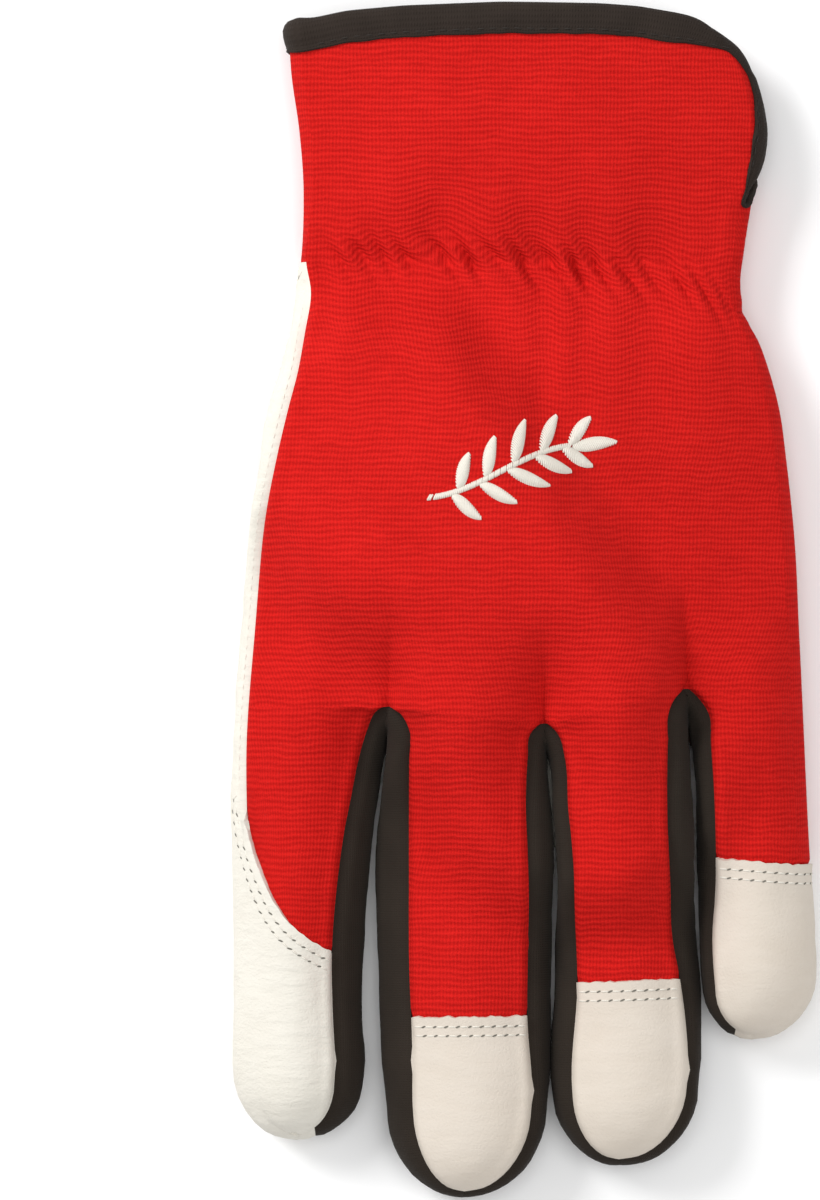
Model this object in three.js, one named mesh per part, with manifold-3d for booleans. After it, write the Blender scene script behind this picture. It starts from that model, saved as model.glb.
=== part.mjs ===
import * as THREE from 'three';
import { mergeVertices } from 'three/addons/utils/BufferGeometryUtils.js';
import Module from 'manifold-3d';

// A left-hand work glove lying palm down, with its thumb folded under the palm.
// X runs across the hand to the little finger, Y towards the cuff, Z up from the floor.
// The glove is one skin cut into panels: each panel is a wall of even thickness under that skin.

// Driving dimensions, in millimetres
const GLOVE_LENGTH = 250;
const GLOVE_WIDTH = 121;
const HAND_HEIGHT = 28;
const FINGER_HEIGHT = 18;
const FINGERTIP_ROUND = 14;
const PALM_EDGE_INSET = 4;
const PALM_EDGE_RISE = 1;
const CLOTH_WALL = 1.2;
const LEATHER_WALL = 1.3;
const KNIT_WALL = 1;
const PATCH_WALL = 1;
const CAP_RISE = 0.5;
const SEAM_GAP = 0.3;
const EDGE_ROOM = 0.1;
const BINDING_WIDTH = 5.4;
const BINDING_WALL = 0.8;
const BINDING_GAP = 0.5;
const GATHER_DEPTH = 1.1;
const GATHER_REACH = 15;
const THUMB_WIDTH = 32;
const THUMB_HEIGHT = 12;
const THUMB_HOLE_LENGTH = 30;
const THUMB_TIP_ROUND = 15;
const THUMB_LEATHER_END = 51;
const DRAPE_MARGIN = 4;
const DRAPE_SLOPE = 18;
const ROOM_OVER_THUMB = 0.3;
const WEB_RUN = 12;
const INDEX_BOW = 8.8;

// How finely the skin is divided
const BACK_COLUMNS = 6;
const PALM_COLUMNS = 4;
const SIDE_COLUMNS = 4;
const VENT_ROWS = 5;
const WRIST_ROWS = 3;
const PALM_ROWS = 11;
const BASE_ROWS = 7;
const TIP_ROWS = 5;
const THUMB_COLUMNS = 16;
const THUMB_BEND_ROWS = 5;
const THUMB_ROWS = 9;
const TIP_ARC_STEPS = 5;
const PALM_EDGE_STEPS = 40;

// How the rows crowd together: 1 is even, and more crowds them at the webs, the tips and the bend.
// The index finger's bow is deepest nearer its left edge.
const WEB_CROWDING = 1.4;
const TIP_CROWDING = 1.5;
const KNUCKLE_CROWDING = 1.15;
const BOW_CROWDING = 0.7;
const THUMB_CROWDING = 1.3;

// In every table, along is a share of GLOVE_LENGTH from the cuff's edge towards the fingertips,
// and a place across the hand is a share of GLOVE_WIDTH from the hand's middle line.
// A seam is the edge of the cloth back, and a side is the outline seen from above.
const EDGES = {
  radial: [
    { along: 0.02, seam: -0.381, side: -0.402 },
    { along: 0.057, seam: -0.378, side: -0.398 },
    { along: 0.107, seam: -0.364, side: -0.384 },
    { along: 0.157, seam: -0.355, side: -0.376 },
    { along: 0.217, seam: -0.357, side: -0.378 },
    { along: 0.241, seam: -0.359, side: -0.381 },
    { along: 0.274, seam: -0.376, side: -0.391 },
    { along: 0.308, seam: -0.388, side: -0.416 },
    { along: 0.341, seam: -0.405, side: -0.438 },
    { along: 0.375, seam: -0.422, side: -0.448 },
    { along: 0.425, seam: -0.443, side: -0.464 },
    { along: 0.525, seam: -0.464, side: -0.484 },
    { along: 0.625, seam: -0.479, side: -0.498 },
    { along: 0.676, seam: -0.478, side: -0.5 },
    { along: 0.751, seam: -0.471, side: -0.498 },
    { along: 0.834, seam: -0.466, side: -0.497 },
    { along: 0.893, seam: -0.462, side: -0.498 },
  ],
  index_right: [
    { along: 0.594, seam: -0.25 },
    { along: 0.609, seam: -0.264 },
    { along: 0.634, seam: -0.278, side: -0.238 },
    { along: 0.663, seam: -0.29, side: -0.247 },
    { along: 0.692, seam: -0.302, side: -0.255 },
    { along: 0.726, seam: -0.312, side: -0.262 },
    { along: 0.801, seam: -0.324, side: -0.273 },
    { along: 0.843, seam: -0.322, side: -0.276 },
    { along: 0.901, seam: -0.319, side: -0.272 },
  ],
  middle_left: [
    { along: 0.594, seam: -0.214 },
    { along: 0.609, seam: -0.197 },
    { along: 0.634, seam: -0.197, side: -0.234 },
    { along: 0.663, seam: -0.197, side: -0.241 },
    { along: 0.692, seam: -0.197, side: -0.249 },
    { along: 0.726, seam: -0.197, side: -0.252 },
    { along: 0.801, seam: -0.197, side: -0.247 },
    { along: 0.885, seam: -0.191, side: -0.24 },
    { along: 0.922, seam: -0.191, side: -0.233 },
  ],
  middle_right: [
    { along: 0.611, seam: 0.019 },
    { along: 0.63, seam: 0.014, side: 0.042 },
    { along: 0.667, seam: 0.01, side: 0.049 },
    { along: 0.709, seam: 0.013, side: 0.055 },
    { along: 0.793, seam: 0.015, side: 0.053 },
    { along: 0.847, seam: 0.014, side: 0.052 },
    { along: 0.922, seam: 0.022, side: 0.046 },
  ],
  ring_left: [
    { along: 0.611, seam: 0.057 },
    { along: 0.631, seam: 0.07, side: 0.047 },
    { along: 0.672, seam: 0.076, side: 0.054 },
    { along: 0.705, seam: 0.083, side: 0.06 },
    { along: 0.776, seam: 0.09, side: 0.059 },
    { along: 0.818, seam: 0.093, side: 0.058 },
    { along: 0.91, seam: 0.084, side: 0.053 },
  ],
  ring_right: [
    { along: 0.581, seam: 0.269 },
    { along: 0.594, seam: 0.257 },
    { along: 0.617, seam: 0.255, side: 0.288 },
    { along: 0.667, seam: 0.253, side: 0.295 },
    { along: 0.742, seam: 0.26, side: 0.299 },
    { along: 0.78, seam: 0.264, side: 0.303 },
    { along: 0.816, seam: 0.278, side: 0.309 },
    { along: 0.853, seam: 0.288, side: 0.313 },
    { along: 0.901, seam: 0.291, side: 0.309 },
  ],
  little_left: [
    { along: 0.581, seam: 0.3 },
    { along: 0.594, seam: 0.319 },
    { along: 0.617, seam: 0.322, side: 0.294 },
    { along: 0.667, seam: 0.329, side: 0.301 },
    { along: 0.742, seam: 0.331, side: 0.305 },
    { along: 0.78, seam: 0.325, side: 0.309 },
    { along: 0.822, seam: 0.33, side: 0.315 },
  ],
  ulnar: [
    { along: 0.03, seam: 0.345, side: 0.355 },
    { along: 0.048, seam: 0.378, side: 0.386 },
    { along: 0.074, seam: 0.397, side: 0.407 },
    { along: 0.107, seam: 0.4, side: 0.414 },
    { along: 0.14, seam: 0.39, side: 0.409 },
    { along: 0.17, seam: 0.379, side: 0.4 },
    { along: 0.207, seam: 0.371, side: 0.384 },
    { along: 0.235, seam: 0.359, side: 0.379 },
    { along: 0.262, seam: 0.371, side: 0.386 },
    { along: 0.283, seam: 0.391, side: 0.41 },
    { along: 0.308, seam: 0.409, side: 0.429 },
    { along: 0.341, seam: 0.426, side: 0.447 },
    { along: 0.383, seam: 0.438, side: 0.459 },
    { along: 0.441, seam: 0.45, side: 0.471 },
    { along: 0.525, seam: 0.459, side: 0.479 },
    { along: 0.625, seam: 0.469, side: 0.49 },
    { along: 0.719, seam: 0.479, side: 0.5 },
    { along: 0.793, seam: 0.49, side: 0.51 },
    { along: 0.814, seam: 0.488, side: 0.509 },
  ],
};

// Each finger's two edges, where its fingertip leather begins on them, how far that line bows towards
// the tip between them, and the finger's crown at the knuckles
const FINGERS = [
  { name: 'index', left: 'radial', right: 'index_right', capLeft: 0.676, capRight: 0.795, bow: INDEX_BOW,
    knuckle: 0.74, seamTip: 0.946, seamTipAt: -0.386, sideTip: 0.951, sideTipAt: -0.39 },
  { name: 'middle', left: 'middle_left', right: 'middle_right', capLeft: 0.848, capRight: 0.847, bow: 0,
    knuckle: 0.84, seamTip: 0.995, seamTipAt: -0.098, sideTip: 1, sideTipAt: -0.103 },
  { name: 'ring', left: 'ring_left', right: 'ring_right', capLeft: 0.819, capRight: 0.816, bow: 0,
    knuckle: 0.83, seamTip: 0.968, seamTipAt: 0.169, sideTip: 0.973, sideTipAt: 0.178 },
  { name: 'little', left: 'little_left', right: 'ulnar', capLeft: 0.715, capRight: 0.721, bow: 0,
    knuckle: 0.72, seamTip: 0.863, seamTipAt: 0.4, sideTip: 0.867, sideTipAt: 0.4 },
];

// Where the web between two fingers starts on the back, folds between them, and ends on the palm
const CROTCHES = [
  { back: 0.589, backAt: -0.231, fold: 0.608, foldAt: -0.231, palm: 0.611, palmAt: -0.232 },
  { back: 0.603, backAt: 0.038, fold: 0.622, foldAt: 0.041, palm: 0.625, palmAt: 0.042 },
  { back: 0.574, backAt: 0.284, fold: 0.593, foldAt: 0.287, palm: 0.596, palmAt: 0.288 },
];

// Lines across the glove: across runs from 0 on the index side to 1 on the little finger's side
const CUFF_EDGE = [
  { across: 0, along: 0.02 }, { across: 0.11, along: 0.012 }, { across: 0.25, along: 0.008 },
  { across: 0.48, along: 0.005 }, { across: 0.72, along: 0.006 }, { across: 0.81, along: 0.008 },
  { across: 0.9, along: 0.013 }, { across: 1, along: 0.03 },
];
const VENT_LINE = [{ across: 0, along: 0.14 }, { across: 0.5, along: 0.145 }, { across: 1, along: 0.17 }];
const BACK_WRIST = [
  { across: 0, along: 0.217 }, { across: 0.12, along: 0.209 }, { across: 0.5, along: 0.214 },
  { across: 0.9, along: 0.236 }, { across: 1, along: 0.258 },
];
const PALM_WRIST = [
  { across: 0, along: 0.217 }, { across: 0.3, along: 0.17 }, { across: 0.65, along: 0.174 },
  { across: 1, along: 0.258 },
];
const KNUCKLE_LINE_START = 0.589;
const KNUCKLE_LINE_END = 0.575;

// The back's height down the hand, as shares of HAND_HEIGHT at its middle and at its edges
const HAND_PROFILE = [
  { along: 0, middle: 0.62, edge: 0.46 }, { along: 0.1, middle: 0.64, edge: 0.46 },
  { along: 0.17, middle: 0.6, edge: 0.45 }, { along: 0.217, middle: 0.52, edge: 0.43 },
  { along: 0.25, middle: 0.62, edge: 0.44 }, { along: 0.3, middle: 0.78, edge: 0.47 },
  { along: 0.38, middle: 0.9, edge: 0.5 }, { along: 0.48, middle: 0.93, edge: 0.51 },
  { along: 0.6, middle: 0.82, edge: 0.5 },
];
const SEAM_HEIGHT_SHARE = 0.78;
const SIDE_HEIGHT_SHARE = 0.5;
const FINGERTIP_HEIGHT_SHARE = 0.5;
const BACK_DRAPE = 0.75;
const KNUCKLE_FADE = 26;

// The palm lies lifted on its patches up to one share of GLOVE_LENGTH, and the lift fades over another
const LIFT_END_SHARE = 0.7;
const LIFT_FADE_SHARE = 0.08;

// Powers that shape a cross-section: how square the back is, how flat the palm, how even the gathers
const BACK_SQUARENESS = 2.2;
const HAND_PALM_FLATNESS = 12;
const FINGER_PALM_FLATNESS = 4;
const GATHER_EVENNESS = 0.3;
const THUMB_SQUARENESS = 0.72;

// Shares of THUMB_HEIGHT that its tip sinks and rises by, and the share of the bend that it drops in
const THUMB_TIP_DROP = 0.35;
const THUMB_TIP_RISE = 0.1;
const THUMB_DROP_SHARE = 0.3;
const BINDING_LIP = 0.6;
const SHARPEST_FACING = 0.75;
const SHARPEST_CORNER = 1.6;

// The folded thumb's hole in the palm and its tip, and the outlines of the two patches
const THUMB_HOLE = { along: 0.375, at: -0.253 };
const THUMB_TIP = { along: 0.701, at: 0.181 };
const HEEL_OUTLINE = [
  { along: 0.276, at: 0.203 }, { along: 0.291, at: 0.316 }, { along: 0.341, at: 0.39 },
  { along: 0.4, at: 0.405 }, { along: 0.462, at: 0.367 }, { along: 0.508, at: 0.29 },
  { along: 0.529, at: 0.186 }, { along: 0.508, at: 0.103 }, { along: 0.458, at: 0.059 },
  { along: 0.4, at: 0.045 }, { along: 0.333, at: 0.066 }, { along: 0.291, at: 0.117 },
];
const KNUCKLE_OUTLINE = [
  { along: 0.557, at: 0.221 }, { along: 0.546, at: 0.307 }, { along: 0.557, at: 0.393 },
  { along: 0.6, at: 0.431 }, { along: 0.646, at: 0.421 }, { along: 0.674, at: 0.379 },
  { along: 0.663, at: 0.338 }, { along: 0.606, at: 0.279 }, { along: 0.655, at: 0.245 },
  { along: 0.709, at: 0.203 }, { along: 0.734, at: 0.155 }, { along: 0.722, at: 0.103 },
  { along: 0.676, at: 0.079 }, { along: 0.617, at: 0.086 }, { along: 0.575, at: 0.134 },
];

const FINISHES = {
  cloth: { color: 0xc81e1c, roughness: 0.9 },
  leather: { color: 0xe6e0d4, roughness: 0.75 },
  knit: { color: 0x302b26, roughness: 0.85 },
  binding: { color: 0x3a322e, roughness: 0.9 },
  patch: { color: 0x342620, roughness: 0.95 },
};

const wasm = await Module();
wasm.setup();

// Small helpers
const mix = (a, b, share) => a + (b - a) * share;
const clamp = (value) => Math.min(1, Math.max(0, value));
const ease = (share) => clamp(share) ** 2 * (3 - 2 * clamp(share));
const plan = (along, at) => new THREE.Vector2(at * GLOVE_WIDTH, (0.5 - along) * GLOVE_LENGTH);
const alongAt = (y) => 0.5 - y / GLOVE_LENGTH;
const palmLift = Math.max(SEAM_GAP + PATCH_WALL, BINDING_GAP + BINDING_WALL);

function lookUp(table, key, from, value) {
  let row = 1;
  while (row < table.length - 1 && table[row][from] < value) row += 1;
  const [a, b] = [table[row - 1], table[row]];
  return mix(a[key], b[key], clamp((value - a[from]) / (b[from] - a[from])));
}

// A smooth line through points in plan, kept as short straight steps with their running lengths
class PlanLine {
  constructor(corners, steps = 8) {
    const spans = corners.slice(1).map((corner, i) => corner.distanceTo(corners[i]));
    const slope = (i) => {
      if (i === 0) return corners[1].clone().sub(corners[0]).divideScalar(spans[0]);
      const before = corners[i].clone().sub(corners[i - 1]).divideScalar(spans[i - 1]);
      if (i === corners.length - 1) return before;
      const after = corners[i + 1].clone().sub(corners[i]).divideScalar(spans[i]);
      return after.multiplyScalar(spans[i - 1]).addScaledVector(before, spans[i])
        .divideScalar(spans[i - 1] + spans[i]);
    };
    this.points = [corners[0]];
    for (let i = 0; i < spans.length; i += 1) {
      for (let step = 1; step <= steps; step += 1) {
        const t = step / steps;
        const point = new THREE.Vector2()
          .addScaledVector(corners[i], 2 * t ** 3 - 3 * t ** 2 + 1)
          .addScaledVector(slope(i), (t ** 3 - 2 * t ** 2 + t) * spans[i])
          .addScaledVector(corners[i + 1], 3 * t ** 2 - 2 * t ** 3)
          .addScaledVector(slope(i + 1), (t ** 3 - t ** 2) * spans[i]);
        this.points.push(point);
      }
    }
    this.lengths = [0];
    this.points.slice(1).forEach((point, i) => {
      this.lengths.push(this.lengths[i] + point.distanceTo(this.points[i]));
    });
    this.length = this.lengths.at(-1);
  }

  at(length) {
    let i = 1;
    while (i < this.points.length - 1 && this.lengths[i] < length) i += 1;
    const share = clamp((length - this.lengths[i - 1]) / (this.lengths[i] - this.lengths[i - 1]));
    return this.points[i - 1].clone().lerp(this.points[i], share);
  }

  lengthAt(along) {
    const y = (0.5 - along) * GLOVE_LENGTH;
    let i = 1;
    while (i < this.points.length - 1 && this.points[i].y > y) i += 1;
    const [a, b] = [this.points[i - 1], this.points[i]];
    return mix(this.lengths[i - 1], this.lengths[i], clamp((a.y - y) / (a.y - b.y)));
  }
}

// A quarter of an ellipse from an edge's last point round to the fingertip
function tipArc(start, tip) {
  return Array.from({ length: TIP_ARC_STEPS }, (_, step) => {
    const angle = (step + 1) / TIP_ARC_STEPS * Math.PI / 2;
    return new THREE.Vector2(mix(tip.x, start.x, Math.cos(angle)), mix(start.y, tip.y, Math.sin(angle)));
  });
}

// The palm's edge lies inside a side line, and closes in on the web it starts from
function palmEdge(side, handed, webPoint, firstLength) {
  const tip = side.points.at(-1).clone().add(new THREE.Vector2(0, PALM_EDGE_INSET));
  const corners = webPoint ? [webPoint] : [];
  for (let step = webPoint ? 1 : 0; step < PALM_EDGE_STEPS; step += 1) {
    const share = step / PALM_EDGE_STEPS;
    const length = mix(firstLength, side.length, share);
    const along = side.at(Math.min(length + 0.5, side.length)).sub(side.at(Math.max(length - 0.5, 0)));
    const inward = new THREE.Vector2(-along.y, along.x).normalize().multiplyScalar(handed);
    const grown = webPoint ? Math.sqrt(clamp((length - firstLength) / WEB_RUN)) : 1;
    corners.push(side.at(length).addScaledVector(inward, PALM_EDGE_INSET * grown));
  }
  return new PlanLine([...corners, tip], 1);
}

// The three lines down one edge of a finger: the back's seam, the outline, and the palm's edge
function edgeLines(name, finger, handed, crotch) {
  const seamCorners = EDGES[name].map((row) => plan(row.along, row.seam));
  const sideCorners = EDGES[name].filter((row) => row.side).map((row) => plan(row.along, row.side));
  if (crotch) {
    seamCorners.unshift(plan(crotch.back, crotch.backAt));
    sideCorners.unshift(plan(crotch.fold, crotch.foldAt));
  }
  seamCorners.push(...tipArc(seamCorners.at(-1), plan(finger.seamTip, finger.seamTipAt)));
  sideCorners.push(...tipArc(sideCorners.at(-1), plan(finger.sideTip, finger.sideTipAt)));
  const seam = new PlanLine(seamCorners);
  const side = new PlanLine(sideCorners);
  const web = crotch ? plan(crotch.palm, crotch.palmAt) : null;
  return { seam, side, palm: palmEdge(side, handed, web, crotch ? side.lengthAt(crotch.palm) : 0) };
}

// How far each row lies on its way from the web to the cap's seam, and from there to the tip
const baseShare = (row) => (row / BASE_ROWS) ** WEB_CROWDING;
const tipShare = (row) => 1 - (1 - row / TIP_ROWS) ** TIP_CROWDING;

// The bow is full on the row of the cap's seam, and fades out to the web and to the tip
function bowAt(finger, row, share) {
  const fullness = row < BASE_ROWS ? baseShare(row) : 1 - tipShare(row - BASE_ROWS);
  return finger.bow * fullness * Math.sin(Math.PI * share ** BOW_CROWDING);
}

// Stations down a finger, dense at the web and at the tip, with one on the cap's seam
function stations(line, start, cap) {
  const first = line.lengthAt(start);
  const middle = line.lengthAt(cap);
  const lengths = [];
  for (let i = 0; i <= BASE_ROWS; i += 1) lengths.push(mix(first, middle, baseShare(i)));
  for (let i = 1; i <= TIP_ROWS; i += 1) lengths.push(mix(middle, line.length, tipShare(i)));
  return lengths.map((length) => line.at(length));
}

// Heights
const holeCentre = plan(THUMB_HOLE.along, THUMB_HOLE.at);
const thumbTip = plan(THUMB_TIP.along, THUMB_TIP.at);
const thumbWay = thumbTip.clone().sub(holeCentre).normalize();
const thumbAcross = new THREE.Vector2(-thumbWay.y, thumbWay.x);
const drapeHeight = THUMB_HEIGHT + PATCH_WALL + 2 * SEAM_GAP - palmLift + ROOM_OVER_THUMB;

// How far the thumb under it raises the palm
function drape(point) {
  const reach = thumbTip.distanceTo(holeCentre) - THUMB_WIDTH / 2;
  const place = new THREE.Vector2(point.x, point.y);
  const share = clamp(place.clone().sub(holeCentre).dot(thumbWay) / reach);
  const nearest = holeCentre.clone().addScaledVector(thumbWay, share * reach);
  const beyond = place.distanceTo(nearest) - THUMB_WIDTH / 2 - DRAPE_MARGIN;
  return drapeHeight * (1 - ease(beyond / DRAPE_SLOPE));
}

// The palm lies on its patches, and the fingers lie on the floor
function palmHeight(point, rise) {
  const lift = palmLift * (1 - ease((alongAt(point.y) - LIFT_END_SHARE) / LIFT_FADE_SHARE));
  return lift + drape(point) + PALM_EDGE_RISE * rise;
}

function handHeight(point, across, gatherSign) {
  const along = alongAt(point.y);
  const middle = lookUp(HAND_PROFILE, 'middle', 'along', along) * HAND_HEIGHT;
  const edge = lookUp(HAND_PROFILE, 'edge', 'along', along) * HAND_HEIGHT;
  const wrist = lookUp(BACK_WRIST, 'along', 'across', across);
  const fromWrist = Math.abs(along - wrist) * GLOVE_LENGTH / GATHER_REACH;
  const evenness = Math.sin(across * Math.PI) ** GATHER_EVENNESS;
  const gather = GATHER_DEPTH * gatherSign * Math.max(0, 1 - fromWrist) * evenness;
  const dome = 1 - Math.abs(2 * across - 1) ** BACK_SQUARENESS;
  return mix(edge, middle, dome) + gather + BACK_DRAPE * drape(point);
}

// A fingertip closes like a quarter circle over FINGERTIP_ROUND
function tipFade(distance) {
  return Math.sqrt(1 - (1 - clamp(distance / FINGERTIP_ROUND)) ** 2);
}

function fingerHeights(finger, point, tip) {
  const fromTip = point.y - tip.y;
  const fromKnuckle = (alongAt(point.y) - KNUCKLE_LINE_END) * GLOVE_LENGTH;
  const closed = tipFade(fromTip);
  const crown = mix(finger.knuckle * HAND_HEIGHT, FINGER_HEIGHT, ease(fromKnuckle / KNUCKLE_FADE));
  const raised = BACK_DRAPE * drape(point);
  return {
    seam: mix(FINGERTIP_HEIGHT_SHARE, SEAM_HEIGHT_SHARE, closed) * FINGER_HEIGHT + raised,
    crown: mix(FINGERTIP_HEIGHT_SHARE * FINGER_HEIGHT, crown, closed) + raised,
  };
}

const lift3 = (point, z) => new THREE.Vector3(point.x, point.y, z);

// The rounded side wall between a back edge point and a palm edge point, through the outline
function sideArc(top, side, bottom) {
  const middle = lift3(side, mix(bottom.z, top.z, SIDE_HEIGHT_SHARE));
  const control = middle.clone().multiplyScalar(2).addScaledVector(top, -0.5).addScaledVector(bottom, -0.5);
  return new THREE.QuadraticBezierCurve3(top, control, bottom).getPoints(SIDE_COLUMNS);
}

// One finger's rows of points on its back, its palm and its two sides
function makeFinger(finger, index) {
  const before = CROTCHES[index - 1];
  const after = CROTCHES[index];
  const left = edgeLines(finger.left, finger, 1, before);
  const right = edgeLines(finger.right, finger, -1, after);
  const startLeft = before ? [before.back, before.fold, before.palm] : Array(3).fill(KNUCKLE_LINE_START);
  const startRight = after ? [after.back, after.fold, after.palm] : Array(3).fill(KNUCKLE_LINE_END);
  const names = ['seam', 'side', 'palm'];
  const [seamLeft, sideLeft, palmLeft] = names.map((n, i) => stations(left[n], startLeft[i], finger.capLeft));
  const [seamRight, sideRight, palmRight] =
    names.map((n, i) => stations(right[n], startRight[i], finger.capRight));
  const tip = seamLeft.at(-1);
  const rows = seamLeft.map((a, i) => {
    const b = seamRight[i];
    const back = [];
    for (let c = 0; c <= BACK_COLUMNS; c += 1) {
      const share = c / BACK_COLUMNS;
      const point = a.clone().lerp(b, share);
      point.y -= bowAt(finger, i, share);
      const heights = fingerHeights(finger, point, tip);
      back.push(lift3(point, mix(heights.seam, heights.crown, 1 - (2 * share - 1) ** 2)));
    }
    const palm = [];
    for (let c = 0; c <= PALM_COLUMNS; c += 1) {
      const share = 1 - c / PALM_COLUMNS;
      const point = palmLeft[i].clone().lerp(palmRight[i], share);
      palm.push(lift3(point, palmHeight(point, (2 * share - 1) ** FINGER_PALM_FLATNESS)));
    }
    return {
      back,
      right: sideArc(back.at(-1), sideRight[i], palm[0]),
      palm,
      left: sideArc(back[0], sideLeft[i], palm.at(-1)).reverse(),
    };
  });
  return { rows, lines: { left, right } };
}

const fingers = FINGERS.map(makeFinger);

// The hand's rows run from the cuff's edge to the knuckle line, the first row of the fingers
function handRows() {
  const radial = fingers[0].lines.left;
  const ulnar = fingers[3].lines.right;
  const knuckles = fingers.flatMap((finger, i) => finger.rows[0].back.slice(i ? 1 : 0));
  const palmKnuckles = fingers.flatMap((finger, i) => [...finger.rows[0].palm].reverse().slice(i ? 1 : 0));
  const crossing = (points) => points.map((p) => (p.x - points[0].x) / (points.at(-1).x - points[0].x));
  const acrossBack = crossing(knuckles);
  const acrossPalm = crossing(palmKnuckles);
  const spans = [VENT_ROWS, WRIST_ROWS, PALM_ROWS];
  const shares = spans.flatMap((count, span) => Array.from({ length: count }, (_, i) => [span, i / count]));
  const alongLine = (lines, end, across, [span, share]) => {
    const level = (i) => (i === 3 ? alongAt(end.y) : lookUp(lines[i], 'along', 'across', across));
    const eased = span === 2 ? share ** KNUCKLE_CROWDING : share;
    return mix(level(span), level(span + 1), eased);
  };
  const backLines = [CUFF_EDGE, VENT_LINE, BACK_WRIST];
  const palmLines = [CUFF_EDGE, VENT_LINE, PALM_WRIST];
  const rows = shares.map((place, row) => {
    const ends = [[radial, 0], [ulnar, 1]].map(([edge, across]) => {
      const along = alongLine(backLines, across ? knuckles.at(-1) : knuckles[0], across, place);
      const point = (line) => line.at(line.lengthAt(along));
      return { seam: point(edge.seam), side: point(edge.side), palm: point(edge.palm) };
    });
    const back = knuckles.map((end, c) => {
      const across = acrossBack[c];
      const along = alongLine(backLines, end, across, place);
      const x = mix(ends[0].seam.x, ends[1].seam.x, across);
      const point = new THREE.Vector2(x, (0.5 - along) * GLOVE_LENGTH);
      const open = handHeight(point, across, c % 2 ? 1 : -1);
      const toFingers = ease((along - alongAt(end.y)) * GLOVE_LENGTH / KNUCKLE_FADE + 1);
      return lift3(point, mix(open, end.z, toFingers));
    });
    const palm = palmKnuckles.map((end, c) => {
      const across = acrossPalm[c];
      const along = alongLine(palmLines, end, across, place);
      const x = mix(ends[0].palm.x, ends[1].palm.x, across);
      const point = new THREE.Vector2(x, (0.5 - along) * GLOVE_LENGTH);
      const open = Math.abs(2 * across - 1) ** HAND_PALM_FLATNESS;
      const rise = mix(open, (end.z - palmHeight(end, 0)) / PALM_EDGE_RISE, row / shares.length);
      return lift3(point, palmHeight(point, rise));
    }).reverse();
    return {
      back,
      right: sideArc(back.at(-1), ends[1].side, palm[0]),
      palm,
      left: sideArc(back[0], ends[0].side, palm.at(-1)).reverse(),
    };
  });
  rows.push({
    back: knuckles,
    right: fingers[3].rows[0].right,
    palm: [...palmKnuckles].reverse(),
    left: fingers[0].rows[0].left,
  });
  return rows;
}

// The skin: every point once, and every face with the panel that it belongs to
const skin = { points: [], faces: [], ids: new Map() };

function pointId(point) {
  const key = point.toArray().map((value) => Math.round(value * 1e4)).join(',');
  if (!skin.ids.has(key)) {
    skin.ids.set(key, skin.points.length);
    skin.points.push(point);
  }
  return skin.ids.get(key);
}

function addFace(corners, panel, part) {
  if (new Set(corners).size === 3) skin.faces.push({ corners, panel, part });
}

function addPatch(rows, panelAt, part) {
  for (let r = 0; r < rows.length - 1; r += 1) {
    for (let c = 0; c < rows[r].length - 1; c += 1) {
      const [a, b] = [pointId(rows[r][c]), pointId(rows[r + 1][c])];
      const [d, e] = [pointId(rows[r][c + 1]), pointId(rows[r + 1][c + 1])];
      const panel = panelAt(r, c);
      if (!panel) continue;
      addFace([a, b, e], panel, part);
      addFace([a, e, d], panel, part);
    }
  }
}

const hand = handRows();
const wristRow = VENT_ROWS + WRIST_ROWS;
addPatch(hand.map((row) => row.back), () => 'back_panel', 'back');
addPatch(hand.map((row) => row.palm), (r) => (r < wristRow ? 'palm_cuff' : 'palm_panel'), 'palm');
addPatch(hand.map((row) => row.left), (r, c) => {
  if (r >= wristRow) return 'palm_panel';
  return c < SIDE_COLUMNS / 2 ? 'palm_cuff' : 'back_panel';
}, 'side');
addPatch(hand.map((row) => row.right), (r) => {
  if (r < VENT_ROWS) return null;
  return r < wristRow ? 'palm_cuff' : 'back_panel';
}, 'side');

const STRIPS = ['fourchette_index_middle', 'fourchette_middle_ring', 'fourchette_ring_little'];
const lastRow = BASE_ROWS + TIP_ROWS - 1;
fingers.forEach(({ rows }, i) => {
  const cap = i ? `${FINGERS[i].name}_tip_cap` : 'palm_panel';
  const beyond = (r) => r >= BASE_ROWS;
  addPatch(rows.map((row) => row.back), (r) => (beyond(r) ? cap : 'back_panel'), 'back');
  addPatch(rows.map((row) => row.palm), () => 'palm_panel', 'palm');
  addPatch(rows.map((row) => row.right), (r) => {
    if (i === 3) return beyond(r) ? cap : 'back_panel';
    return i === 0 && r === lastRow ? cap : STRIPS[i];
  }, 'side');
  addPatch(rows.map((row) => row.left), (r) => {
    if (i === 0) return 'palm_panel';
    return i === 3 && r === lastRow ? cap : STRIPS[i - 1];
  }, 'side');
});

const edgeKey = (a, b) => `${a}>${b}`;

function faceNormal(corners, points) {
  const [a, b, c] = corners.map((id) => points[id]);
  return b.clone().sub(a).cross(c.clone().sub(a)).normalize();
}

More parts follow.
